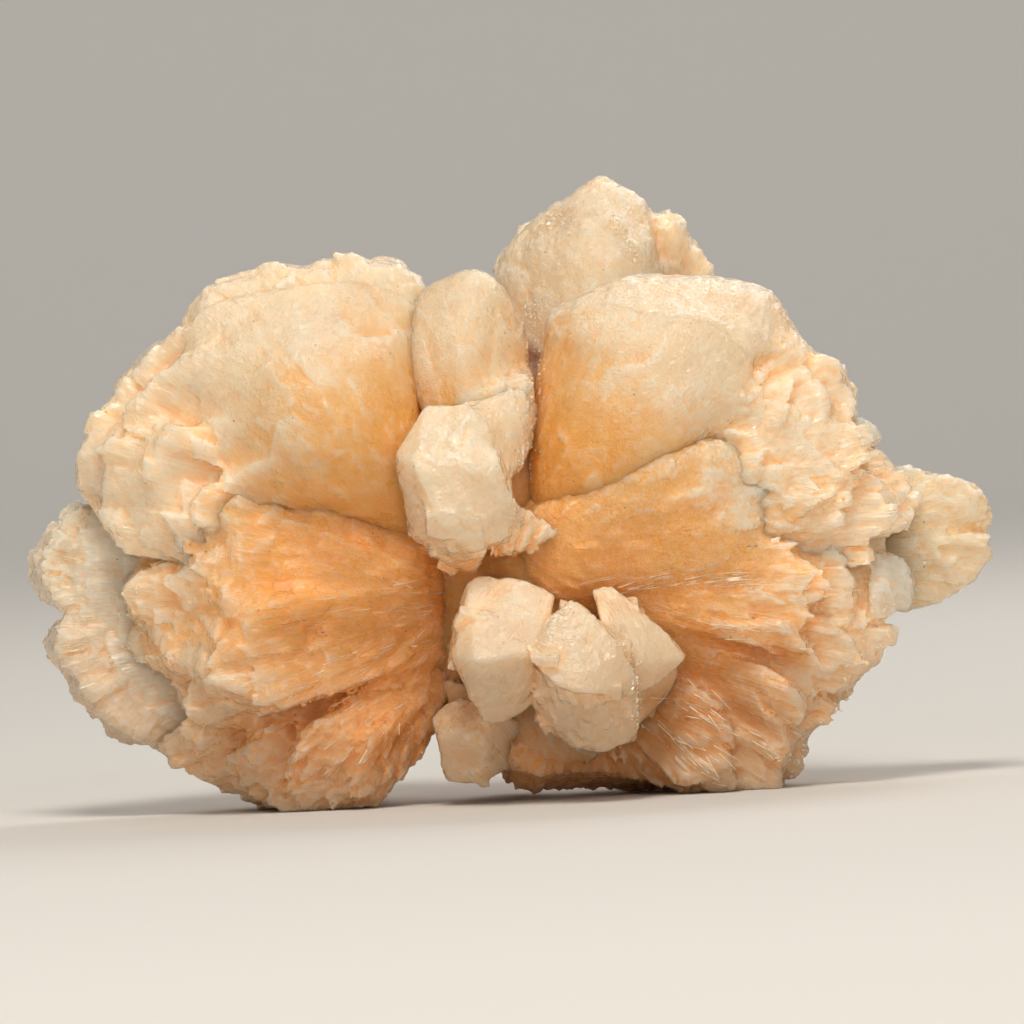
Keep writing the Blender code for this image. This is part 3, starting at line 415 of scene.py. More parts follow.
NEEDLES = [
    (70, (2.0, 0.05, 0.06), (45.0, 57.6, 2), [(57.0, 57.8), (70.0, 57.9), (86.0, 58.2)], 1.2),
    (30, (1.8, 0.05, 0.06), (50.0, 57.0, 2), [(66.0, 61.0), (80.0, 63.4)], 1.8),
    (36, (1.5, 0.06, 0.07), (53.0, 60.0, 4), [(66.6, 68.6), (78.0, 74.0)], 2.6),
    (30, (1.4, 0.06, 0.07), (54.0, 62.0, 4), [(66.0, 73.0), (72.0, 77.0)], 1.8),
    (24, (1.4, 0.05, 0.06), (52.0, 57.5, 2), [(44.6, 58.6), (38.0, 59.6), (31.0, 60.0)], 2.0),
    (28, (1.4, 0.05, 0.06), (50.0, 59.5, 2), [(45.0, 63.0), (38.0, 66.0), (31.0, 69.0)], 2.6),
    (16, (1.2, 0.06, 0.07), (48.5, 62.0, 2), [(43.0, 69.0), (38.0, 73.0), (34.0, 77.0)], 2.4),
    (50, (1.1, 0.06, 0.07), (52.0, 56.0, 2), [(82.0, 50.0), (88.0, 44.0)], 2.4),
    (60, (1.0, 0.06, 0.07), (30.0, 60.0, 2), [(7.0, 54.0), (8.0, 60.0), (8.0, 67.0)], 2.0),
]
SPRINKLE_CELL = 0.45
# How much narrower a small crystal is at its end and on its top.
END_NARROWER, TOP_NARROWER = 0.72, 0.8
BOX_FACES = ((0, 2, 3, 1), (4, 5, 7, 6), (0, 1, 5, 4), (2, 6, 7, 3), (0, 4, 6, 2), (1, 3, 7, 5))
# Where the fibres of each single crystal fan out from, in the front view's frame.
CRYSTAL_ROOTS = {
    "left_dome": (45.0, 57.0, -4), "middle_dome": (47.0, 54.0, -4), "middle_plate": (48.0, 54.0, -4),
    "summit_dome": (60.0, 50.0, -12), "right_dome": (51.0, 55.0, -4), "right_brow": (51.0, 55.0, -4),
    "right_apron": (51.0, 55.0, -4), "right_lap": (51.0, 57.0, -2), "under_waist": (52.0, 62.0, 4),
    "upper_block": (20.0, 66.0, -14), "upper_block_heel": (20.0, 66.0, -14),
    "upper_block_bridge": (20.0, 66.0, -14),
    "waist_block_left": (30.0, 88.0, -10), "waist_block_middle": (36.0, 92.0, -14),
    "waist_block_low": (36.0, 40.0, -30), "waist_block_right": (34.0, 40.0, -14),
    "small_block_left": (70.0, 100.0, -14),
    "broken_sheaf_upper": (80.0, 55.0, -3), "broken_sheaf_lower": (80.0, 56.0, -3),
}
MIDDLE_ROOT = (50.0, 58.0, 0)

# Colours as the eye sees them, 0 to 255, from the waist's deep orange to the tips' cream.
CREAM = (253, 227, 187)
PEACH = (253, 199, 130)
ORANGE = (250, 180, 88)
DEEP_ORANGE = (250, 172, 76)
WHITE = (246, 235, 216)
FROST = (222, 219, 204)
YELLOW = (238, 216, 174)
# Painted shade: darkens the lower parts, as light from above leaves them darker.
PAINTED_LOW_SHADE = (202, 178, 154)
# Painted warm glow and shade for creases and hollows, as light glowing through the crystal.
PAINTED_CREASE_GLOW = (255, 200, 140)
DUST = (96, 66, 44)
FLOOR_GREY = (226, 222, 216)

# How uneven the laths' ends are, and over what distance that changes, in millimetres.
RAGGED = 0.25
RAGGED_SPACING = 1.4
# How far the fibres wander, in radians, and over what distance, in millimetres.
FIBRE_WAVE = 0.010
FIBRE_WAVE_SPACING = 4.0
# How far from the blended crystals the large laths may move the skin, in millimetres.
RELIEF_BAND = 1.5
# How deep inside another piece a skin must lie to be left out, in millimetres.
BURIED = 1.5
# The distance that the field holds where no crystal is near, in millimetres.
FAR_OFF = 9.0
# How much more sharply a slat stands on its sheaf than the fillers do.
SLAT_BLEND = 0.16
# How far a rounded crystal swells to make up for its lost corners, in radii of the rounding.
FULLNESS = 1.5
# How high the large and the finer laths stand, in front and by how much more at the rear, and how the
# finer ones' length and number follow from the large ones'.
LARGE_HEIGHT, LARGE_MORE_BEHIND = 0.46, 0.28
FINER_HEIGHT, FINER_MORE_BEHIND = 0.13, 0.22
FINER_LENGTH, FINER_NUMBER = 0.42, 2.4
# How far the small crystals stand out of a block, in millimetres, and how softly.
STUD_OUT = (0.12, 0.42)
STUD_BLEND = 0.15
# The lumps' sizes in millimetres, and how strong each size is.
LUMPS = ((3.4, 1.0), (1.5, 0.5), (0.7, 0.22))
# How the pattern of the grooves goes on along a fibre, and how it differs from one group to the next.
FIBRE_DRIFT = (0.02, 0.05, 0.03)
GROUP_SHIFT = (17.3, 5.1, 9.7)
# Over what distance the waist's orange fades, in millimetres, and how far depth counts in it.
FADE = (-11, 8)
FADE_DEPTH = 0.55
# How many rounds of evening out give the fine and the wide form of a skin, and by how many millimetres a
# point stands out of the fine form where it counts as a sharp edge.
FINE_ROUNDS, WIDE_ROUNDS = 8, 40
SHARP_EDGE = 0.12


def corners_of(text):
    """The corners that a text gives, with a comma between two of them."""
    return [tuple(map(float, corner.split())) for corner in text.split(",")]


def sheaf(name):
    """The named sheaf's root, and each of its blades' thickness and tip corners."""
    root, text = SHEAVES[name]
    lines = [line.split(":") for line in text.strip().splitlines()]
    return root, [(float(thickness), *corners_of(tips)) for thickness, tips in lines]


def placed(across, down, forward):
    """A point of the front view as a point of the scene, in metres."""
    from_pivot = Vector((across - STANCE_PIVOT[0], -forward, STANCE_PIVOT[1] - down))
    leaning = Matrix.Rotation(math.radians(STANCE_DEG), 3, "Y") @ from_pivot
    return (leaning + Vector((STANCE_AT[0], STANCE_AT[1], 0))) * MM


def linear(colour):
    """A colour of 0 to 255 as the shader takes it."""
    parts = [value / 255 for value in colour]
    return [p / 12.92 if p <= 0.04045 else ((p + 0.055) / 1.055) ** 2.4 for p in parts] + [1.0]


def hull(points):
    """A closed bmesh of the convex hull of the points."""
    shape = bmesh.new()
    for point in points:
        shape.verts.new(point)
    made = bmesh.ops.convex_hull(shape, input=shape.verts)
    inside = {v for v in made["geom_interior"] if isinstance(v, bmesh.types.BMVert)}
    bmesh.ops.delete(shape, geom=list(inside), context="VERTS")
    loose = [v for v in shape.verts if not v.link_faces]
    bmesh.ops.delete(shape, geom=loose, context="VERTS")
    bmesh.ops.recalc_face_normals(shape, faces=shape.faces)
    return shape


Form = namedtuple("Form", "name root normals offsets low high rounding blend")


def form(points, name, root, rounding, blend):
    """A convex crystal as the planes it lies behind, in millimetres."""
    shape = hull(points)
    planes = np.array([[*face.normal, face.normal.dot(face.verts[0].co) / MM] for face in shape.faces])
    corners = np.array([vert.co[:] for vert in shape.verts]) / MM
    shape.free()
    planes = np.unique(np.round(planes, 3), axis=0).astype(np.float32)
    low, high = corners.min(0), corners.max(0)
    return Form(name, np.array(root[:]) / MM, planes[:, :3], planes[:, 3], low, high, rounding, blend)


def crystal_points(faces, carried_back):
    """The corners of a single crystal, with its far side, as the solid has them."""
    corners = [placed(*corner) for corner in faces]
    if not carried_back:
        return corners
    middle = sum(corners, Vector()) / len(corners)
    inmost = max(c.y for c in corners) if carried_back > 0 else min(c.y for c in corners)
    far_side = []
    for corner in corners:
        behind = corner + (middle - corner) * EDGE_INSET * 2
        behind.y = inmost + carried_back * MM
        far_side.append(behind)
    return corners + far_side


def along_outline(corners, share):
    """The point that lies at this share of the way along the line through the corners."""
    lengths = [(b - a).length for a, b in zip(corners, corners[1:])]
    left = share * sum(lengths)
    for start, end, length in zip(corners, corners[1:], lengths):
        if left <= length:
            return start.lerp(end, left / max(length, 1e-9))
        left -= length
    return corners[-1].copy()


def corner_shares(corners):
    """How far along the line through the corners each of its inner corners lies."""
    lengths = [(b - a).length for a, b in zip(corners, corners[1:])]
    total = sum(lengths)
    return [sum(lengths[:i]) / total for i in range(1, len(lengths))]


def ways_of(start, points, towards_viewer):
    """(middle of the points, way along the crystal, way out of its face, way to its side)."""
    middle = sum(points, Vector()) / len(points)
    along = (middle - start).normalized()
    face = (towards_viewer - along * towards_viewer.dot(along)).normalized()
    return middle, along, face, along.cross(face)


def root_corners(root, side, face, half_width):
    """The four corners that a slat or a filler has at its root."""
    corners = []
    for way in (-1, 1):
        edge = root + side * way * half_width * MM
        corners += [edge, edge - face * ROOT_THICKNESS * MM]
    return corners


def slat(start, points, side_shift, towards_viewer, thickness, crest):
    """One thin crystal from its root to its own tip points, with a chisel edge raised by crest."""
    middle, along, face, side = ways_of(start, points, towards_viewer)
    bevel, depth = TIP_BEVEL * MM, thickness * MM
    built = [middle + along * crest * MM - face * bevel * 0.8]
    for point in points:
        inward = (middle - point) * EDGE_INSET
        built += [
            point + inward * 2 - along * bevel,
            point - face * bevel,
            point + inward * 2 - face * depth - along * depth * BACK_TAPER,
        ]
    return built + root_corners(start + side * side_shift * MM, side, face, SLAT_HALF_WIDTH)


def bundle(root, tips, thickness, rng, rear, width, rough):
    """The corners of a blade's slats side by side, with shorter ones lying on it near its tip."""
    start = placed(*root)
    corners = [placed(*tip) for tip in tips]
    towards_viewer = Vector((0, 1 if rear else -1, 0))
    outline = sum((b - a).length for a, b in zip(corners, corners[1:])) / MM
    count = max(2, round(outline / width))
    marks = [i / count for i in range(count + 1)]
    for i in range(1, count):
        marks[i] += rng.uniform(-SPLIT_UNEVEN, SPLIT_UNEVEN) / count
    inner = corner_shares(corners)
    shapes = []
    for low, high in zip(marks, marks[1:]):
        shares = [low, *[s for s in inner if low < s < high], high]
        lift = towards_viewer * rng.uniform(*SLAT_LIFT) * rough * MM
        reach = 1 + rng.uniform(*SLAT_LONGER) * rough
        points = [start + (along_outline(corners, s) - start) * reach + lift for s in shares]
        shift = (low + high - 1) * ROOT_HALF_WIDTH
        depth = thickness * rng.uniform(0.92, 1.0)
        shapes.append(slat(start, points, shift, towards_viewer, depth, rng.uniform(0.1, 0.5) * rough))
    for _ in range(max(1, round(count * 0.7))):
        middle = rng.uniform(0.08, 0.92)
        half = rng.uniform(*UPPER_HALF_WIDTH) / count
        reach = rng.uniform(*UPPER_REACH)
        lift = towards_viewer * rng.uniform(*UPPER_LIFT) * rough * MM
        shares = [max(0, middle - half), middle, min(1, middle + half)]
        points = [start + (along_outline(corners, s) - start) * reach + lift for s in shares]
        shift = (2 * middle - 1) * ROOT_HALF_WIDTH
        shapes.append(slat(start, points, shift, towards_viewer, thickness * 0.6, rng.uniform(0.1, 0.4)))
    return shapes


def web(root, tips, thickness, rear=False):
    """A low crystal that fills the groove between two neighbouring blades."""
    start = placed(*root)
    towards_viewer = Vector((0, 1 if rear else -1, 0))
    corners = [placed(*tip) for tip in tips]
    corners = [start + (c - start) * WEB_REACH - towards_viewer * WEB_DROP * MM for c in corners]
    middle, _, face, side = ways_of(start, corners, towards_viewer)
    behind = [c + (middle - c) * EDGE_INSET * 2 - face * thickness * MM for c in corners]
    return corners + behind + root_corners(start, side, face, ROOT_HALF_WIDTH)


def rear_tip(tip, number):
    """Where a blade of the rear has the corner that its twin in front has at tip."""
    turn = math.radians(REAR_TURN_DEG[number % len(REAR_TURN_DEG)])
    across, down = tip[0] - WAIST[0], tip[1] - WAIST[1]
    turned_across = across * math.cos(turn) - down * math.sin(turn)
    turned_down = across * math.sin(turn) + down * math.cos(turn)
    return (
        WAIST[0] + turned_across * REAR_REACH,
        WAIST[1] + turned_down * REAR_REACH,
        -tip[2] * REAR_DEPTH - REAR_STEP_BACK,
    )


def sheaf_forms(name, root, blades, rng, rear=False):
    """The crystals of one sheaf: first what fills it, then the slats that lie on it."""
    look = LOOKS.get(name, OTHER_LOOKS)
    start = placed(*root)
    fillers = [web(root, tips, thickness, rear) for thickness, *tips in blades]
    for (thickness, *tips), (_, *next_tips) in zip(blades, blades[1:]):
        fillers.append(web(root, tips + next_tips, thickness, rear))
    made = [form(points, name, start, 0, look.blend) for points in fillers]
    for thickness, *tips in blades:
        for points in bundle(root, tips, thickness, rng, rear, look.slat_width, look.rough):
            made.append(form(points, name, start, 0, look.blend * SLAT_BLEND))
    return made


def forms_of(names, rng):
    """Every crystal of the named groups, the large ones first."""
    made = []
    for name in names:
        if name in SHEAVES:
            made += sheaf_forms(name, *sheaf(name), rng)
        elif name.startswith("rear:"):
            for part in REAR_PARTS:
                made += rear_forms(*sheaf(f"{name[5:]}_{part}"), rng)
        else:
            back, faces = CRYSTALS[name]
            solid = crystal_points(corners_of(faces), back)
            root = placed(*CRYSTAL_ROOTS.get(name, MIDDLE_ROOT))
            look = LOOKS.get(name, OTHER_LOOKS)
            made.append(form(solid, name, root, look.rounding, look.blend))
            if name in STUDS:
                made += studs(solid, name, root, rng)
    return made


def studs(solid, name, root, rng):
    """Small crystals that stand a little out of a block, all turned the same way as in the real growth."""
    count, size = STUDS[name]
    shape = hull(solid)
    front = [face for face in shape.faces if face.normal.y < 0.35 and face.normal.z < 0.85]
    areas = np.array([face.calc_area() for face in front])
    turn = Matrix.Rotation(rng.uniform(0.3, 0.8), 3, "X") @ Matrix.Rotation(rng.uniform(-0.5, 0.5), 3, "Y")
    made = []
    for index in rng.choice(len(front), count, p=areas / areas.sum()):
        face = front[index]
        share = rng.dirichlet(np.ones(len(face.verts)))
        at = sum((v.co * s for v, s in zip(face.verts, share)), Vector())
        half = [size * MM * rng.uniform(0.35, 1.0) for _ in range(3)]
        at -= face.normal * (half[1] - rng.uniform(*STUD_OUT) * MM)
        points = []
        for corner in range(8):
            way = Vector([(1 if corner >> k & 1 else -1) * half[k] for k in range(3)])
            points.append(at + turn @ way * rng.uniform(0.85, 1.0))
        made.append(form(points, name, root, 0, STUD_BLEND))
    shape.free()
    return made


def rear_forms(root, blades, rng):
    """The crystals of a sheaf of the rear, made from the blades of its twin in front."""
    made = []
    for number, (thickness, *tips) in enumerate(blades):
        turned = [rear_tip(tip, number) for tip in tips]
        blade = (thickness + REAR_THICKER, *turned)
        made += sheaf_forms("rear", rear_tip(root, number), [blade], rng, rear=True)
    return made


def distance(made, axes):
    """How far each point of the grid lies outside the crystal, less than nothing inside it."""
    x, y, z = axes[0][:, None, None], axes[1][None, :, None], axes[2][None, None, :]
    planes = list(zip(made.normals, made.offsets))
    deepest = None
    for normal, offset in planes:
        beyond = normal[0] * x + normal[1] * y + (normal[2] * z - offset)
        deepest = beyond if deepest is None else np.maximum(deepest, beyond, out=deepest)
    if not made.rounding:
        return deepest
    total = np.zeros_like(deepest)
    for normal, offset in planes:
        beyond = normal[0] * x + normal[1] * y + (normal[2] * z - offset)
        total += np.exp((beyond - deepest) / made.rounding)
    return deepest + made.rounding * (np.log(total) - FULLNESS)


def fibres_at(at, forms, whose, salt, least=0):
    """How the points lie among their crystals' fibres: each point's look, its way from the root, its
    distance from there, the same with uneven ends, and the two angles that tell the fibres apart.

    The way from the root is divided by its length, but by no less than least.
    """
    roots = np.array([made.root for made in forms])[whose]
    look = Look(*np.array([LOOKS.get(made.name, OTHER_LOOKS) for made in forms])[whose].T)
    ray = at - roots
    far = np.linalg.norm(ray, axis=1)
    ray = ray / np.maximum(far, least)[:, None]
    turn = np.stack([np.arctan2(ray[:, 2], np.abs(ray[:, 0])), 0.7 * np.arcsin(ray[:, 1])], axis=1)
    turn += FIBRE_WAVE * np.stack([noise(at / FIBRE_WAVE_SPACING, salt + k) for k in (20, 21)], axis=1)
    ragged = far + RAGGED * noise(at / RAGGED_SPACING, salt + 22)
    return look, ray, far, ragged, turn


def relief(at, forms, whose, salt):
    """How far the ends of the large laths stand out of the blended crystals."""
    look, _, _, ragged, turn = fibres_at(at, forms, whose, salt, least=1)
    height, _, _ = laths(turn, ragged, look.long, look.wide, salt + 30)
    finer, _, _ = laths(turn, ragged, look.long * FINER_LENGTH, look.wide * FINER_NUMBER, salt + 60)
    rear = smoothstep(0, 12, at[:, 1])
    large_height = LARGE_HEIGHT + LARGE_MORE_BEHIND * rear
    return look.large * (large_height * height + (FINER_HEIGHT + FINER_MORE_BEHIND * rear) * finer)


def blended_field(forms, spacing, salt):
    """(field, whose, lowest corner, spacing): distances to the blended crystals, and which is nearest."""
    edge = max(made.blend for made in forms) + 3 * spacing
    low = np.min([made.low for made in forms], axis=0) - edge - spacing
    high = np.max([made.high for made in forms], axis=0) + edge + spacing
    size = np.ceil((high - low) / spacing).astype(int) + 1
    field = np.full(size, FAR_OFF, np.float32)
    whose = np.zeros(size, np.int16)
    for number, made in enumerate(forms):
        first = np.floor((made.low - edge - low) / spacing).astype(int).clip(0)
        last = np.ceil((made.high + edge - low) / spacing).astype(int) + 1
        steps = [np.arange(first[k], min(last[k], size[k])) for k in range(3)]
        axes = [(low[k] + spacing * steps[k]).astype(np.float32) for k in range(3)]
        part = tuple(slice(first[k], first[k] + len(axes[k])) for k in range(3))
        new, old = distance(made, axes), field[part]
        whose[part][new < old] = number
        near = np.maximum(made.blend - np.abs(old - new), 0)
        field[part] = np.minimum(old, new) - near * near / (4 * made.blend)
    band = np.flatnonzero(np.abs(field.ravel()) < RELIEF_BAND)
    at = low + spacing * np.column_stack(np.unravel_index(band, field.shape))
    for few in np.array_split(np.arange(len(band)), 8):
        field.reshape(-1)[band[few]] -= relief(at[few], forms, whose.reshape(-1)[band[few]], salt)
    height = low[2] + spacing * np.arange(size[2])
    field = np.maximum(field, -height.astype(np.float32)[None, None, :])
    return field, whose, low, spacing


def skin_of(field):
    """(points, four-sided faces) of the surface where the field is nought, in steps of the grid."""
    crossings, rings = [], []
    for axis in range(3):
        ahead = np.eye(3, dtype=int)[axis]
        one, two = np.eye(3, dtype=int)[(axis + 1) % 3], np.eye(3, dtype=int)[(axis + 2) % 3]
        cut = [slice(None)] * 3
        cut[axis] = slice(None, -1)
        start = field[tuple(cut)]
        cut[axis] = slice(1, None)
        end = field[tuple(cut)]
        found = np.argwhere((start < 0) != (end < 0))
        at_start, at_end = start[tuple(found.T)], end[tuple(found.T)]
        crossings.append(found + ahead * (at_start / (at_start - at_end))[:, None])
        ring = np.stack([found, found - one, found - one - two, found - two], axis=1)
        rings.append(np.where((at_start < 0)[:, None, None], ring, ring[:, ::-1]))
    crossings, rings = np.concatenate(crossings), np.concatenate(rings)
    cells = np.ravel_multi_index(rings.reshape(-1, 3).T, field.shape)
    _, faces = np.unique(cells, return_inverse=True)
    total = [np.bincount(faces, np.repeat(crossings[:, k], 4)) for k in range(3)]
    points = np.stack(total, axis=1) / np.bincount(faces)[:, None]
    return points, faces.reshape(-1, 4)


def buried(at, name, fields):
    """Whether each point lies deep inside another piece, where nothing of it is ever seen."""
    deep = np.zeros(len(at), bool)
    for other, (field, _, low, spacing) in fields.items():
        if other == name:
            continue
        step = np.round((at - low) / spacing).astype(int)
        inside = np.flatnonzero(((step >= 0) & (step < field.shape)).all(1))
        deep[inside[field[tuple(step[inside].T)] < -BURIED]] = True
    return deep


def one_skin(name, fields):
    """The skin around all the piece's crystals: the object, and which crystal each point lies on."""
    field, whose, low, spacing = fields[name]
    steps, faces = skin_of(field)
    faces = faces[~buried(low + steps * spacing, name, fields)[faces].all(1)]
    used, faces = np.unique(faces, return_inverse=True)
    steps = steps[used]
    nearest = np.round(steps).astype(int)
    mesh = bpy.data.meshes.new(name)
    mesh.from_pydata(((low + steps * spacing) * MM).astype(np.float32), [], faces.reshape(-1, 4))
    mesh.shade_smooth()
    return linked(name, mesh), whose[tuple(nearest.T)]


def read(items, name, width=3, kind=np.float32):
    """One value of every item of a mesh, as rows of an array."""
    found = np.empty(len(items) * width, kind)
    items.foreach_get(name, found)
    return found.reshape(-1, width)


def coordinates(mesh):
    return read(mesh.vertices, "co").astype(float)


def normals(mesh):
    return read(mesh.vertex_normals, "vector").astype(float)


def edges_of(mesh):
    return read(mesh.edges, "vertices", 2, np.int32)


def spread(values, ends, rounds, share=0.6):
    """The values evened out over neighbouring points, that many times over."""
    count = np.bincount(ends.ravel(), minlength=len(values)).astype(float)[:, None]
    values = values.copy()
    for _ in range(rounds):
        total = np.stack([
            np.bincount(ends[:, 0], values[ends[:, 1], k], len(values))
            + np.bincount(ends[:, 1], values[ends[:, 0], k], len(values))
            for k in range(values.shape[1])
        ], axis=1)
        values += share * (total / np.maximum(count, 1) - values)
    return values


def hashed(cell, salt):
    """A number from 0 to 1 for each cell of a grid, always the same for the same cell."""
    mixed = cell[..., 0] * 374761393 + cell[..., 1] * 668265263
    mixed = mixed + cell[..., 2] * 2147483647 + salt * 974634777
    mixed = (mixed ^ (mixed >> 13)) * 1274126177
    mixed = mixed ^ (mixed >> 16)
    return (mixed & 0xFFFFFF) / 0xFFFFFF


def noise(at, salt=0):
    """Smooth noise from -1 to 1 at each point, with one hill or hollow a unit."""
    cell = np.floor(at).astype(np.int64)
    part = at - cell
    part = part * part * (3 - 2 * part)
    total = np.zeros(len(at))
    for corner in range(8):
        step = np.array([corner & 1, corner >> 1 & 1, corner >> 2 & 1])
        weight = np.prod(np.where(step, part, 1 - part), axis=1)
        total += weight * hashed(cell + step, salt)
    return total * 2 - 1


def smoothstep(low, high, value):
    part = np.clip((value - low) / (high - low), 0, 1)
    return part * part * (3 - 2 * part)


# How each group of crystals looks, in millimetres: how deep its grooves are, how high its large and its
# small laths are, how lumpy it is, how far from the waist its orange reaches, how white and how yellow it
# is (0 to 1), how softly its crystals run into each other, how round their edges are, how wide its slats
# are, how uneven they lie (0 to 1), how long its large laths are, and how many lie side by side in a radian.
Look = namedtuple(
    "Look", "groove large small lump reach white yellow blend rounding slat_width rough long wide"
)
OTHER_LOOKS = Look(0.06, 0.8, 0.08, 0.12, 24, 0.0, 0.0, 2.5, 0.3, 3.4, 0.8, 8, 8)
LOOKS = {
    name: Look(*map(float, values)) for name, *values in map(str.split, """
    left_dome 0.02 0.3 0.05 0.25 25 0 0 5 0.8 3 0.5 9 7
    middle_dome 0.02 0.25 0.05 0.2 21 0 0 2.5 0.7 3 0.5 7 7
    middle_plate 0.02 0.5 0.06 0.2 10 0 0 1.5 0.5 3 0.5 4 12
    right_dome 0.03 0.3 0.05 0.2 25 0 0 5 0.8 3 0.5 9 7
    right_apron 0.1 0.55 0.05 0.08 25 0 0 4 0.5 3 0.5 11 14
    right_brow 0.03 0.4 0.06 0.25 21 0 0 4.5 0.9 3 0.5 9 7
    summit_dome 0.03 0.5 0.07 0.25 15 0.1 0.1 1.5 0.4 3 0.5 8 7
    summit_sides 0.04 0.5 0.1 0.15 15 0.2 0 1.5 0.2 2.5 0.6 6 10
    left_crest 0.03 0.9 0.08 0.12 18 0.1 0 2 0.2 3.4 0.6 7 8
    left_shoulder 0.05 0.9 0.08 0.08 25 0.1 0 2 0.2 4 0.7 9 8
    left_middle 0.12 0.9 0.06 0.06 28 0 0 2 0.2 4 0.7 9 8
    left_lower 0.08 0.9 0.06 0.08 25 0.1 0 2 0.2 4 0.7 8 9
    left_foot 0.08 1.1 0.07 0.08 24 0.1 0 1.6 0.2 3 0.7 4.5 15
    left_front 0.06 1.1 0.07 0.08 22 0.1 0 1.6 0.3 3 0.7 4 16
    right_front 0.08 1 0.07 0.08 22 0.1 0 1.6 0.3 3 0.7 5 15
    waist_mass 0.06 0.6 0.06 0.1 26 0 0 3 0.5 3 0.5 7 12
    rear_left_dome 0.04 0.9 0.08 0.12 24 0 0 2 0.3 3 0.5 9 9
    rear_right_dome 0.04 0.9 0.08 0.12 24 0 0 2 0.3 3 0.5 9 9
    rear_left_low_dome 0.06 1.1 0.08 0.1 22 0 0 2 0.2 3 0.5 8 12
    rear_right_low_dome 0.06 1.1 0.08 0.1 22 0 0 2 0.2 3 0.5 8 12
    rear_waist_block 0.02 0.5 0.06 0.15 8 0.1 0 1.2 0.2 3 0.5 5 14
    rear_waist_low_block 0.02 0.5 0.06 0.15 8 0.1 0 1.2 0.2 3 0.5 5 14
    left_white_upper 0.1 0.6 0.1 0.05 13 0.8 0 0.9 0.2 1.8 0.9 4 9
    left_white_lower 0.1 0.6 0.1 0.05 13 0.7 0 0.9 0.2 1.8 0.9 4 10
    left_rim_core 0.1 0.6 0.1 0.05 13 0.7 0 0.9 0.3 2 0.8 4 9
    right_crest 0.09 0.72 0.07 0.06 27 0.1 0 1.8 0.2 2.4 0.7 7 17
    right_shoulder 0.11 0.66 0.06 0.05 31 0.1 0 1.6 0.2 1.8 0.7 7 19
    right_lap 0.16 0.6 0.05 0.05 29 0 0 3.5 0.5 3 0.5 12 18
    right_fibres 0.16 0.6 0.05 0.04 31 0 0 1.6 0.2 1.6 0.8 12 20
    right_middle 0.12 0.7 0.06 0.05 28 0.1 0 1.8 0.2 1.6 0.7 7 18
    right_lower 0.1 0.8 0.06 0.06 29 0.1 0 1.5 0.2 1.6 0.8 6 14
    right_foot 0.1 0.8 0.06 0.06 26 0.1 0 1.5 0.2 1.8 0.8 7 13
    left_core 0.14 0.75 0.05 0.06 28 0 0 3 0.3 3 0.5 11 15
    right_core 0.1 0.4 0.05 0.08 33 0 0 3 0.3 3 0.5 12 12
    upper_block 0 0.3 0.04 0.16 4 0.2 0 0.6 0.1 3 0.5 7 24
    upper_block_bridge 0 0.4 0.05 0.2 10 0 0 2.6 0.4 3 0.5 4 16
    upper_block_heel 0 0.3 0.04 0.16 9 0.1 0 1.2 0.15 3 0.5 5 26
    upper_block_ledge 0.02 0.6 0.05 0.15 9 0.1 0 1.4 0.3 3 0.5 4 12
    waist_block_left 0 0.26 0.04 0.16 3 0.2 0 0.6 0.1 3 0.5 7 26
    waist_block_middle 0 0.3 0.05 0.18 3 0.2 0 0.6 0.12 3 0.5 6 26
    waist_block_low 0 0.5 0.06 0.18 3 0.2 0 0.9 0.16 3 0.5 3 34
    waist_block_right 0 0.26 0.04 0.14 6 0.1 0 0.6 0.1 3 0.5 7 26
    waist_block_shadowed 0 0 0.03 0.12 18 0 0 0.6 0.2 3 0.5 9 9
    small_block_left 0 0.35 0.05 0.14 9 0.2 0 0.6 0.12 3 0.5 5 28
    under_waist 0.06 0.5 0.05 0.1 16 0.2 0 1.5 0.3 3 0.5 6 14
    small_block_right 0.03 0 0.06 0.1 16 0.3 0 1.2 0.2 3 0.5 9 9
    broken_sheaf_upper 0.12 0.5 0.06 0.08 12 0.1 1 1.2 0.2 3 0.5 6 16
    broken_sheaf_lower 0.12 0.5 0.06 0.08 12 0.1 1 1.2 0.2 3 0.5 6 16
    grey_bud 0.04 0.5 0.1 0.1 10 1 0 1.6 0.3 3 0.5 4 14
    grey_sliver 0.04 0.5 0.1 0.1 10 1 0 1.6 0.3 3 0.5 4 14
    """.strip().splitlines())
}
FIBRES_PER_RADIAN = 46

# The laths' length in millimetres and how many lie side by side in a radian at the root.
SMALL_LATHS = (4.2, 21.0)
FINE_LATHS = (2.2, 52.0)
# How far the laths wander sideways, how much they slant, and how far they are shifted along one another.
LATH_WANDER, LATH_SLANT, LATH_SHIFT = 0.6, 0.6, 8
# How much a lath rises towards its end, how much laths differ in height, and how rounded each one is.
LATH_RISE, LATH_DIFFERENCE, LATH_ROUNDING = 0.9, 1.2, 1.2


def laths(turn, far, length, side_by_side, salt):
    """Flat crystals side by side, one ending behind the other: each point's height, how far along its
    crystal it lies from 0 to 1, and its crystal's own number."""
    sideways = turn * np.reshape(side_by_side, (-1, 1))
    uneven = np.column_stack([sideways * 0.45, far / (3 * length)])
    sideways = sideways + LATH_WANDER * np.stack([noise(uneven, salt + 5), noise(uneven, salt + 6)], axis=1)
    cell = np.floor(sideways).astype(np.int64)
    across = sideways[:, 0] - cell[:, 0] - 0.5
    row = np.column_stack([cell, np.zeros(len(cell), np.int64)])
    slant = (hashed(row, salt) - 0.5) * LATH_SLANT
    along = far / length + hashed(row, salt + 1) * LATH_SHIFT + across * slant
    ring = np.floor(along).astype(np.int64)
    part = along - ring
    own = hashed(np.column_stack([cell, ring]), salt + 2)
    height = (part - 0.5) * LATH_RISE + (own - 0.5) * LATH_DIFFERENCE - LATH_ROUNDING * across * across
    return height, part, own


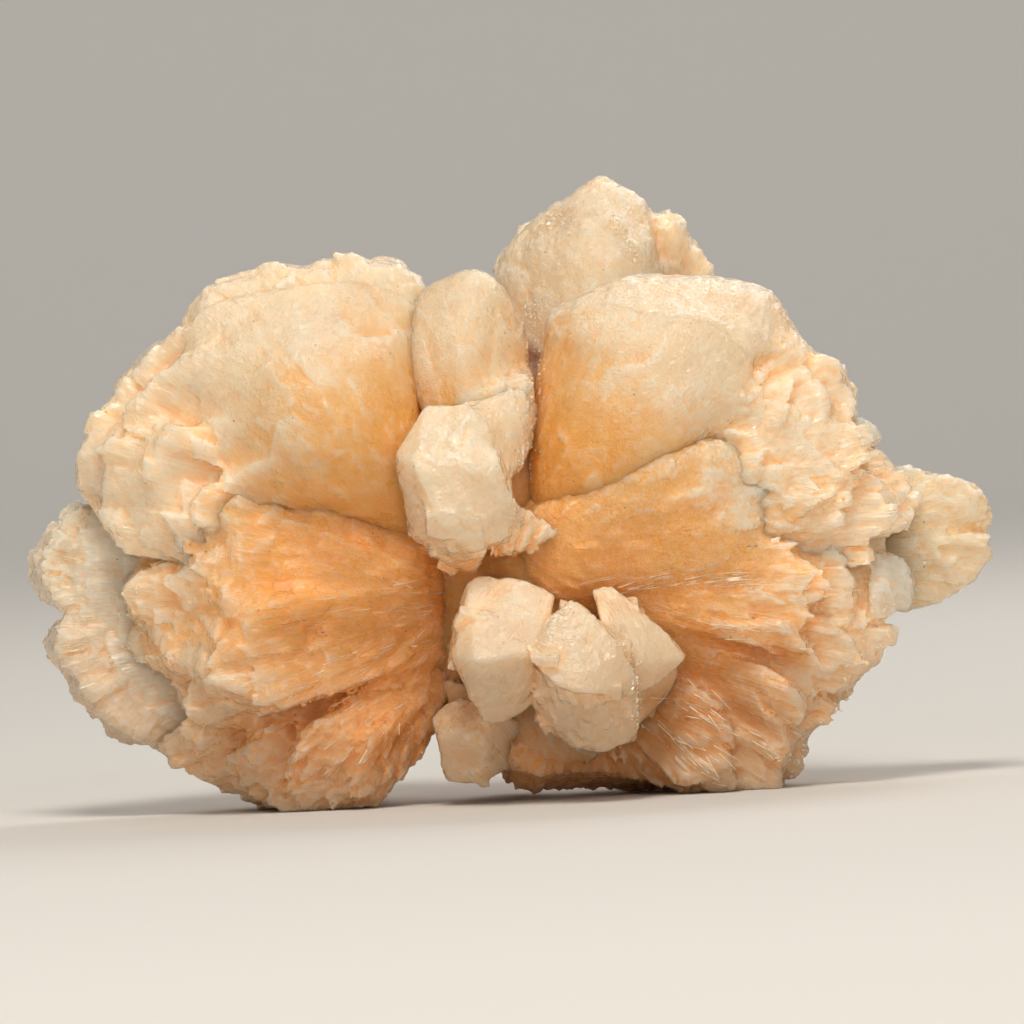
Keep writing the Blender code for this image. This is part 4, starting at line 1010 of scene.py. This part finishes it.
def fibre_place(ray, far, forms, whose):
    """Where the points lie in the pattern of the grooves, which is fine across the fibres."""
    names = sorted({made.name for made in forms})
    group = np.array([names.index(made.name) for made in forms])[whose]
    shift = group[:, None] * np.array(GROUP_SHIFT)
    return ray * FIBRES_PER_RADIAN + shift + far[:, None] * np.array(FIBRE_DRIFT)


def warmth_of(moved, fibre, reach, small, large):
    """How orange each point is, from 1 at the waist to 0 at the tips, a little uneven."""
    waist = np.array(placed(WAIST[0], WAIST[1], 0)[:]) / MM
    from_waist = np.linalg.norm((moved - waist) * np.array([1.0, FADE_DEPTH, 1.0]), axis=1)
    from_waist += 2.2 * noise(moved / 7.0, 41) + 1.2 * noise(fibre * 0.3, 42) + 2.0 * small + 2.5 * large
    warmth = 1 - smoothstep(*FADE, from_waist - reach)
    return warmth * (0.7 + 0.3 * (1 - smoothstep(0, 20, from_waist - reach + 22)))


def finish_skin(piece, forms, whose, salt):
    """Raises small laths and grooves along the crystals' fibres and writes what the material reads."""
    mesh = piece.data
    ends = edges_of(mesh)
    at = coordinates(mesh) / MM
    normal = spread(normals(mesh), ends, 2)
    normal /= np.linalg.norm(normal, axis=1)[:, None]
    look, ray, far, ragged, turn = fibres_at(at, forms, whose, salt)
    fibre = fibre_place(ray, far, forms, whose)
    grooves = 0.8 - 2.2 * np.abs(noise(fibre, salt)) + 0.7 * noise(fibre * 2.3, salt + 1)
    lumps = sum(share * noise(at / size, salt + 2 + k) for k, (size, share) in enumerate(LUMPS))
    large, end, _ = laths(turn, ragged, look.long, look.wide, salt + 30)
    small, part, _ = laths(turn, ragged, *SMALL_LATHS, salt + 40)
    fine, _, _ = laths(turn, ragged, *FINE_LATHS, salt + 50)
    lift = look.groove * grooves + look.lump * lumps * 0.5
    lift += look.small * (1.3 * small + 0.9 * fine)
    lift = spread(lift[:, None], ends, 1, 0.4)[:, 0]
    moved = at + normal * lift[:, None]
    moved[:, 2] = np.maximum(moved[:, 2], 0)
    mesh.vertices.foreach_set("co", (moved * MM).astype(np.float32).ravel())
    mesh.update()
    normal = normals(mesh)
    near = spread(moved, ends, FINE_ROUNDS)
    wide = spread(near, ends, WIDE_ROUNDS)
    fine_edge = ((moved - near) * normal).sum(1)
    wide_edge = ((moved - wide) * normal).sum(1)
    reach, white, yellow = spread(np.stack([look.reach, look.white, look.yellow], axis=1), ends, 24).T
    ends_of_laths = np.maximum(smoothstep(0.6, 1.0, part) * 0.6, smoothstep(0.7, 1.0, end))
    save = {
        "warmth": np.clip(warmth_of(moved, fibre, reach, small, large), 0, 1),
        "white": white,
        "yellow": yellow,
        # tip: the ends of the laths, paler partly in the crystal itself and partly as painted highlight.
        "tip": ends_of_laths * np.minimum(look.large * 2, 1),
        "fibrous": np.clip((spread(look.groove[:, None], ends, 12)[:, 0] - 0.02) / 0.06, 0, 1),
        "far": far,
        # low: how far down a point lies, for the painted shade on the lower parts.
        "low": 1 - smoothstep(3.0, 24.0, moved[:, 2]),
        # edge: how far a point stands out of the fine form, for painted highlights on sharp edges and painted
        # glow in fine creases.
        "edge": np.clip(fine_edge / SHARP_EDGE, -1, 1),
        # hollow: how deep a point lies in a hollow, for the painted warm shade there.
        "hollow": np.clip(-wide_edge, -1, 1),
    }
    for name, values in save.items():
        mesh.attributes.new(name, "FLOAT", "POINT").data.foreach_set("value", values.astype(np.float32))
    vectors = mesh.attributes.new("fibre", "FLOAT_VECTOR", "POINT")
    vectors.data.foreach_set("vector", fibre.astype(np.float32).ravel())


def add(nodes, kind, **values):
    """A new shader node with the given properties."""
    made = nodes.new(kind)
    for name, value in values.items():
        setattr(made, name, value)
    return made


def attribute(tree, name, output="Fac"):
    return add(tree.nodes, "ShaderNodeAttribute", attribute_name=name).outputs[output]


def set_inputs(tree, node, values):
    """Gives each named input of the node its value, which is a plain one or another node's output."""
    for name, value in values.items():
        if isinstance(value, bpy.types.NodeSocket):
            tree.links.new(value, node.inputs[name])
        else:
            node.inputs[name].default_value = value


def mixed(tree, factor, first, second, blend="MIX"):
    """The colour between two colours."""
    made = add(tree.nodes, "ShaderNodeMix", data_type="RGBA", blend_type=blend)
    set_inputs(tree, made, {0: factor, 6: first, 7: second})
    return made.outputs[2]


def scaled(tree, value, low, high, to_low=0.0, to_high=1.0):
    """The value, moved from one range to another and held inside it."""
    made = add(tree.nodes, "ShaderNodeMapRange", clamp=True)
    ends = {"From Min": low, "From Max": high, "To Min": to_low, "To Max": to_high}
    set_inputs(tree, made, {"Value": value, **ends})
    return made.outputs["Result"]


def product(tree, first, second):
    made = add(tree.nodes, "ShaderNodeMath", operation="MULTIPLY")
    set_inputs(tree, made, {0: first, 1: second})
    return made.outputs[0]


def scaled_vector(tree, vector, scale):
    made = add(tree.nodes, "ShaderNodeVectorMath", operation="SCALE")
    set_inputs(tree, made, {0: vector, "Scale": scale})
    return made.outputs["Vector"]


def noise_node(tree, vector, scale, detail=2.0, roughness=0.5):
    made = add(tree.nodes, "ShaderNodeTexNoise")
    set_inputs(tree, made, {"Scale": scale, "Detail": detail, "Roughness": roughness, "Vector": vector})
    return made.outputs["Fac"]


def streaks_node(tree, scale, per_mm, detail=3.0):
    """Noise that is long along the fibres and fine across them."""
    made = add(tree.nodes, "ShaderNodeTexNoise", noise_dimensions="4D")
    across = scaled_vector(tree, attribute(tree, "fibre", "Vector"), scale)
    along = product(tree, attribute(tree, "far"), per_mm)
    set_inputs(tree, made, {"Scale": 1.0, "Detail": detail, "Roughness": 0.6, "Vector": across, "W": along})
    return made.outputs["Fac"]


def bumped(tree, height, strength, distance, normal=None):
    made = add(tree.nodes, "ShaderNodeBump")
    set_inputs(tree, made, {"Strength": strength, "Distance": distance, "Height": height})
    if normal is not None:
        set_inputs(tree, made, {"Normal": normal})
    return made.outputs["Normal"]


def cells(tree, vector, scale):
    """(colour, distance) of a pattern of cells, each cell with a colour of its own."""
    made = add(tree.nodes, "ShaderNodeTexVoronoi")
    set_inputs(tree, made, {"Scale": scale, "Vector": vector})
    return made.outputs["Color"], made.outputs["Distance"]


def vector_of(tree, operation, first, second):
    """The result of one vector operation."""
    made = add(tree.nodes, "ShaderNodeVectorMath", operation=operation)
    set_inputs(tree, made, {0: first, 1: second})
    return made.outputs["Vector"]


def tilted(tree, normal, colour, amount):
    """The normal, tilted one way or another in each cell, as on a crust of small flat faces."""
    lean = scaled_vector(tree, vector_of(tree, "SUBTRACT", colour, (0.5, 0.5, 0.5)), amount)
    return vector_of(tree, "NORMALIZE", vector_of(tree, "ADD", normal, lean), (0, 0, 0))


def stilbite_colour(tree, place, streaks, threads):
    """From the waist's orange to the tips' cream, with painted warm shade and glow in hollows and creases,
    painted highlights on sharp edges, on lath tips and as glint lines along the fibres, painted shade low
    down, and a few specks of dust.
    """
    ramp = add(tree.nodes, "ShaderNodeValToRGB")
    stops = ramp.color_ramp.elements
    stops[0].position, stops[0].color = 0.0, linear(CREAM)
    stops[1].position, stops[1].color = 1.0, linear(DEEP_ORANGE)
    for position, colour in ((0.30, PEACH), (0.68, ORANGE)):
        stop = stops.new(position)
        stop.color = linear(colour)
    warmth = attribute(tree, "warmth")
    tree.links.new(warmth, ramp.inputs["Fac"])
    colour = ramp.outputs["Color"]
    white, yellow = attribute(tree, "white"), attribute(tree, "yellow")
    colour = mixed(tree, scaled(tree, white, 0, 1, 0, 0.85), colour, linear(FROST))
    colour = mixed(tree, scaled(tree, yellow, 0, 1, 0, 0.8), colour, linear(YELLOW))
    # Painted warm shade and glow in the hollows.
    hollow = attribute(tree, "hollow")
    colour = mixed(tree, scaled(tree, hollow, 0.05, 0.8, 0, 0.65), colour, linear(PAINTED_CREASE_GLOW), "MULTIPLY")
    veil = noise_node(tree, place, 480, 4, 0.65)
    colour = mixed(tree, scaled(tree, veil, 0.42, 0.72, 0, 0.24), colour, linear(PEACH), "MULTIPLY")
    cloud = noise_node(tree, place, 200, 2)
    colour = mixed(tree, scaled(tree, cloud, 0.45, 0.75, 0, 0.20), colour, linear(PEACH), "MULTIPLY")
    fibrous = attribute(tree, "fibrous")
    dark = product(tree, scaled(tree, streaks, 0.46, 0.34, 0, 0.4), fibrous)
    colour = mixed(tree, dark, colour, linear(PEACH), "MULTIPLY")
    # Painted glints: thin light lines along the fibres, on the real striations that the bump also raises.
    light = product(tree, scaled(tree, threads, 0.54, 0.68, 0, 0.6), fibrous)
    colour = mixed(tree, light, colour, linear(CREAM))
    # Lath tips paler: partly the crystal's own paler ends, partly painted highlight.
    pale = scaled(tree, warmth, 0.1, 0.8, 1.0, 0.25)
    tip = attribute(tree, "tip")
    colour = mixed(tree, product(tree, scaled(tree, tip, 0.0, 1.0, 0, 0.40), pale), colour, linear(WHITE))
    edge = attribute(tree, "edge")
    # Painted warm glow in the fine creases.
    colour = mixed(tree, scaled(tree, edge, -0.1, -1.0, 0, 0.5), colour, linear(PAINTED_CREASE_GLOW))
    # Painted highlight: sharp edges lightened towards white, less where the crystal is orange.
    colour = mixed(tree, product(tree, scaled(tree, edge, 0.15, 1.0, 0, 0.50), pale), colour, linear(WHITE))
    # Painted shade: darker and browner towards the bottom, where less light falls.
    low = attribute(tree, "low")
    colour = mixed(tree, scaled(tree, low, 0.0, 1.0, 0, 0.75), colour, linear(PAINTED_LOW_SHADE), "MULTIPLY")
    _, far = cells(tree, place, 420)
    return mixed(tree, scaled(tree, far, 0.045, 0.03, 0, 0.7), colour, linear(DUST))


def new_material(name):
    """The material, its node tree and its shader."""
    material = bpy.data.materials.new(name)
    material.use_nodes = True
    shader = material.node_tree.nodes["Principled BSDF"]
    shader.subsurface_method = "BURLEY"
    return material, material.node_tree, shader


def stilbite():
    """Translucent crystal: orange towards the waist, cream at the tips, pearly and finely grooved."""
    material, tree, shader = new_material("stilbite_crystal")
    place = add(tree.nodes, "ShaderNodeTexCoord").outputs["Object"]
    streaks = streaks_node(tree, 1.6, 0.10)
    threads = streaks_node(tree, 4.0, 0.35, 2.0)
    grain = noise_node(tree, place, 1500, 2, 0.5)
    base = stilbite_colour(tree, place, streaks, threads)
    normal = bumped(tree, streaks, 0.8, 0.0004)
    normal = bumped(tree, threads, 0.5, 0.0002, normal)
    normal = bumped(tree, grain, 0.15, 0.00008, normal)
    colour, _ = cells(tree, place, 1500)
    patch = noise_node(tree, place, 330, 2)
    amount = scaled(tree, patch, 0.42, 0.62, 0.08, 0.9)
    set_inputs(tree, shader, {
        "Base Color": base,
        "Normal": normal,
        "Roughness": scaled(tree, patch, 0.42, 0.66, 0.34, 0.18),
        "Coat Normal": tilted(tree, normal, colour, amount),
        "Coat Weight": 1.0,
        "Coat Roughness": 0.10,
        "Subsurface Weight": 0.95,
        "Subsurface Radius": (1.0, 0.70, 0.46),
        "Subsurface Scale": 0.0042,
        "IOR": 1.52,
    })
    return material


def clear_crystal():
    """The clearer, glassy crystals that are sprinkled on the skin."""
    material, tree, shader = new_material("stilbite_clear")
    place = add(tree.nodes, "ShaderNodeTexCoord").outputs["Object"]
    cloud = noise_node(tree, place, 500, 2)
    set_inputs(tree, shader, {
        "Base Color": mixed(tree, scaled(tree, cloud, 0.4, 0.65), linear(CREAM), linear(WHITE)),
        "Subsurface Weight": 0.6,
        "Subsurface Radius": (1.0, 0.8, 0.6),
        "Subsurface Scale": 0.0008,
        "Roughness": 0.15,
        "IOR": 1.5,
    })
    return material


WORKERS = 4


def fields_of(crystals):
    """The blended field of every piece, worked out side by side."""
    coarser = 1.0
    with ThreadPoolExecutor(WORKERS) as pool:
        jobs = {
            name: pool.submit(blended_field, forms, PIECES[name][0] * coarser, 100 * number)
            for number, (name, forms) in enumerate(crystals.items())
        }
        return {name: job.result() for name, job in jobs.items()}


def make_piece(name, number, forms, fields, material):
    piece, whose = one_skin(name, fields)
    finish_skin(piece, forms, whose, 100 * number)
    hand_over(piece, material)
    return piece


def hand_over(piece, material):
    """Gives the piece its material and lets it ride on the solid in whose place it is."""
    piece.data.materials.append(material)
    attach(piece, BODY)
    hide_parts(NODE)


def front_view(at):
    """Points of the scene, in millimetres, in the front view's frame."""
    turn = np.array(Matrix.Rotation(math.radians(STANCE_DEG), 3, "Y"))
    from_pivot = (at - np.array([STANCE_AT[0], STANCE_AT[1], 0])) @ turn
    return np.stack([
        from_pivot[:, 0] + STANCE_PIVOT[0], STANCE_PIVOT[1] - from_pivot[:, 2], -from_pivot[:, 1],
    ], axis=1)


def box_of(at, along, face, half):
    """The corners of a small crystal that lies along one way, a little narrower at its end and on top."""
    side = np.cross(along, face)
    corners = []
    for number in range(8):
        way = [1 if number >> k & 1 else -1 for k in range(3)]
        narrow = END_NARROWER if way[0] > 0 else 1.0
        low = TOP_NARROWER if way[2] > 0 else 1.0
        corner = at + along * way[0] * half[0] * low
        corner = corner + side * way[1] * half[1] * narrow * low
        corners.append(corner + face * way[2] * half[2] * narrow)
    return corners


def sprinkle(name, sorts, skins, rng, material):
    """One piece of many small crystals that stand or lie on the skins where the front view shows them."""
    at = np.concatenate([coordinates(skin.data) for skin in skins]) / MM
    outward = np.concatenate([normals(skin.data) for skin in skins])
    view = front_view(at)
    cell = np.floor(view[:, :2] / SPRINKLE_CELL).astype(int)
    order = np.argsort(view[:, 2])
    foremost = dict(zip(map(tuple, cell[order].tolist()), order.tolist()))
    points, faces = [], []
    for count, half, root, line, width in sorts:
        lying = root is not None
        start = np.array(placed(*(root or (*WAIST, 2)))[:]) / MM
        corners = [Vector((x, y, 0)) for x, y in line]
        for _ in range(count):
            spot = along_outline(corners, rng.uniform(0, 1))
            spot = np.array([spot.x + rng.normal(0, width / 2), spot.y + rng.normal(0, width / 2)])
            found = foremost.get(tuple(np.floor(spot / SPRINKLE_CELL).astype(int).tolist()))
            if found is None:
                continue
            face = outward[found] + rng.normal(0, 0.05 if lying else 0.5, 3)
            ray = at[found] - start
            ray += rng.normal(0, 0.006 if lying else 1.0, 3) * np.linalg.norm(ray)
            face /= np.linalg.norm(face)
            ray -= face * ray.dot(face)
            ray /= np.linalg.norm(ray)
            size = np.array(half) * rng.uniform(0.45, 1.0, 3)
            middle = at[found] - outward[found] * size[2] * (0.6 if lying else 0.1)
            first = len(points)
            points += box_of(middle, ray, face, size)
            faces += [tuple(first + k for k in ring) for ring in BOX_FACES]
    mesh = bpy.data.meshes.new(name)
    mesh.from_pydata(np.array(points) * MM, [], faces)
    hand_over(linked(name, mesh), material)


def linked(name, data):
    """A new object of the scene with the given data."""
    made = bpy.data.objects.new(name, data)
    bpy.context.scene.collection.objects.link(made)
    return made


def add_floor():
    """A pale floor that curves up into a backdrop on the far side."""
    near, far, up, bend = -3.0, 1.6, 2.2, 0.6
    profile = [(near, 0.0), (far - bend, 0.0)]
    for step in range(1, 17):
        turn = math.pi / 2 * step / 16
        profile.append((far - bend + bend * math.sin(turn), bend - bend * math.cos(turn)))
    profile.append((far, up))
    half = 3.0
    points = [(x, y, z) for y, z in profile for x in (-half, half)]
    faces = [(2 * i, 2 * i + 1, 2 * i + 3, 2 * i + 2) for i in range(len(profile) - 1)]
    mesh = bpy.data.meshes.new("studio_floor")
    mesh.from_pydata(points, [], faces)
    mesh.shade_smooth()
    floor = linked("studio_floor", mesh)
    material, tree, shader = new_material("pale_floor")
    set_inputs(tree, shader, {"Base Color": linear(FLOOR_GREY), "Roughness": 0.9})
    mesh.materials.append(material)


def add_light(name, at, aim, size, watts, colour=(1, 1, 1)):
    data = bpy.data.lights.new(name, "AREA")
    data.shape = "RECTANGLE"
    data.size, data.size_y = size
    data.energy = watts
    data.color = colour
    light = linked(name, data)
    light.location = at
    light.rotation_mode = "QUATERNION"
    light.rotation_quaternion = (Vector(aim) - Vector(at)).to_track_quat("-Z", "Y")


def add_lights():
    world = bpy.data.worlds.new("studio")
    bpy.context.scene.world = world
    world.use_nodes = True
    background = world.node_tree.nodes["Background"]
    set_inputs(world.node_tree, background, {"Color": (1.0, 0.97, 0.93, 1), "Strength": 0.22})
    middle = (0, 0, 0.03)
    add_light("key", (-0.04, -0.40, 0.70), middle, (0.26, 0.26), 3.5, (1.0, 0.95, 0.87))
    add_light("fill", (0.50, -0.60, 0.35), middle, (0.4, 0.4), 0.5, (1.0, 0.96, 0.92))
    add_light("rim", (0.25, 0.45, 0.45), middle, (0.3, 0.3), 1.0, (1.0, 0.97, 0.94))
    add_light("glint_left", (-0.22, -0.62, 0.34), middle, (0.04, 0.04), 0.22, (1.0, 0.97, 0.92))
    add_light("glint_right", (0.14, -0.64, 0.42), middle, (0.04, 0.04), 0.32, (1.0, 0.97, 0.92))
    add_light("backdrop", (0, 1.0, 1.5), (0, 1.6, 0.3), (1.6, 0.5), 6.0)


def add_camera():
    """The camera looks straight at the front view, leaning as the cluster does."""
    data = bpy.data.cameras.new("camera")
    data.lens = LENS_MM
    data.sensor_width = SENSOR_MM
    data.clip_start, data.clip_end = 0.05, 20
    camera = linked("camera", data)
    turn = Matrix.Rotation(math.radians(STANCE_DEG), 3, "Y")
    turn = turn @ Matrix.Rotation(math.radians(90 - VIEW_ELEVATION_DEG), 3, "X")
    distance = VIEW_WIDTH * MM * LENS_MM / SENSOR_MM
    aim = placed(VIEW_CENTRE[0], VIEW_CENTRE[1], 0)
    camera.matrix_world = Matrix.Translation(aim + turn @ Vector((0, 0, distance))) @ turn.to_4x4()
    bpy.context.scene.camera = camera


def main():
    bpy.context.scene.view_settings.view_transform = "Standard"
    add_camera()
    add_lights()
    add_floor()
    material = stilbite()
    crystals = {
        name: forms_of(groups, np.random.default_rng(100 + number))
        for number, (name, (_, groups)) in enumerate(PIECES.items())
    }
    fields = fields_of(crystals)
    skins = {
        name: make_piece(name, number, forms, fields, material)
        for number, (name, forms) in enumerate(crystals.items())
    }
    skins = [skin for name, skin in skins.items() if not name.startswith("rear")]
    clear = clear_crystal()
    sprinkle("druse_crystals", DRUSE, skins, np.random.default_rng(7), clear)
    sprinkle("fibre_needles", NEEDLES, skins, np.random.default_rng(8), clear)


main()
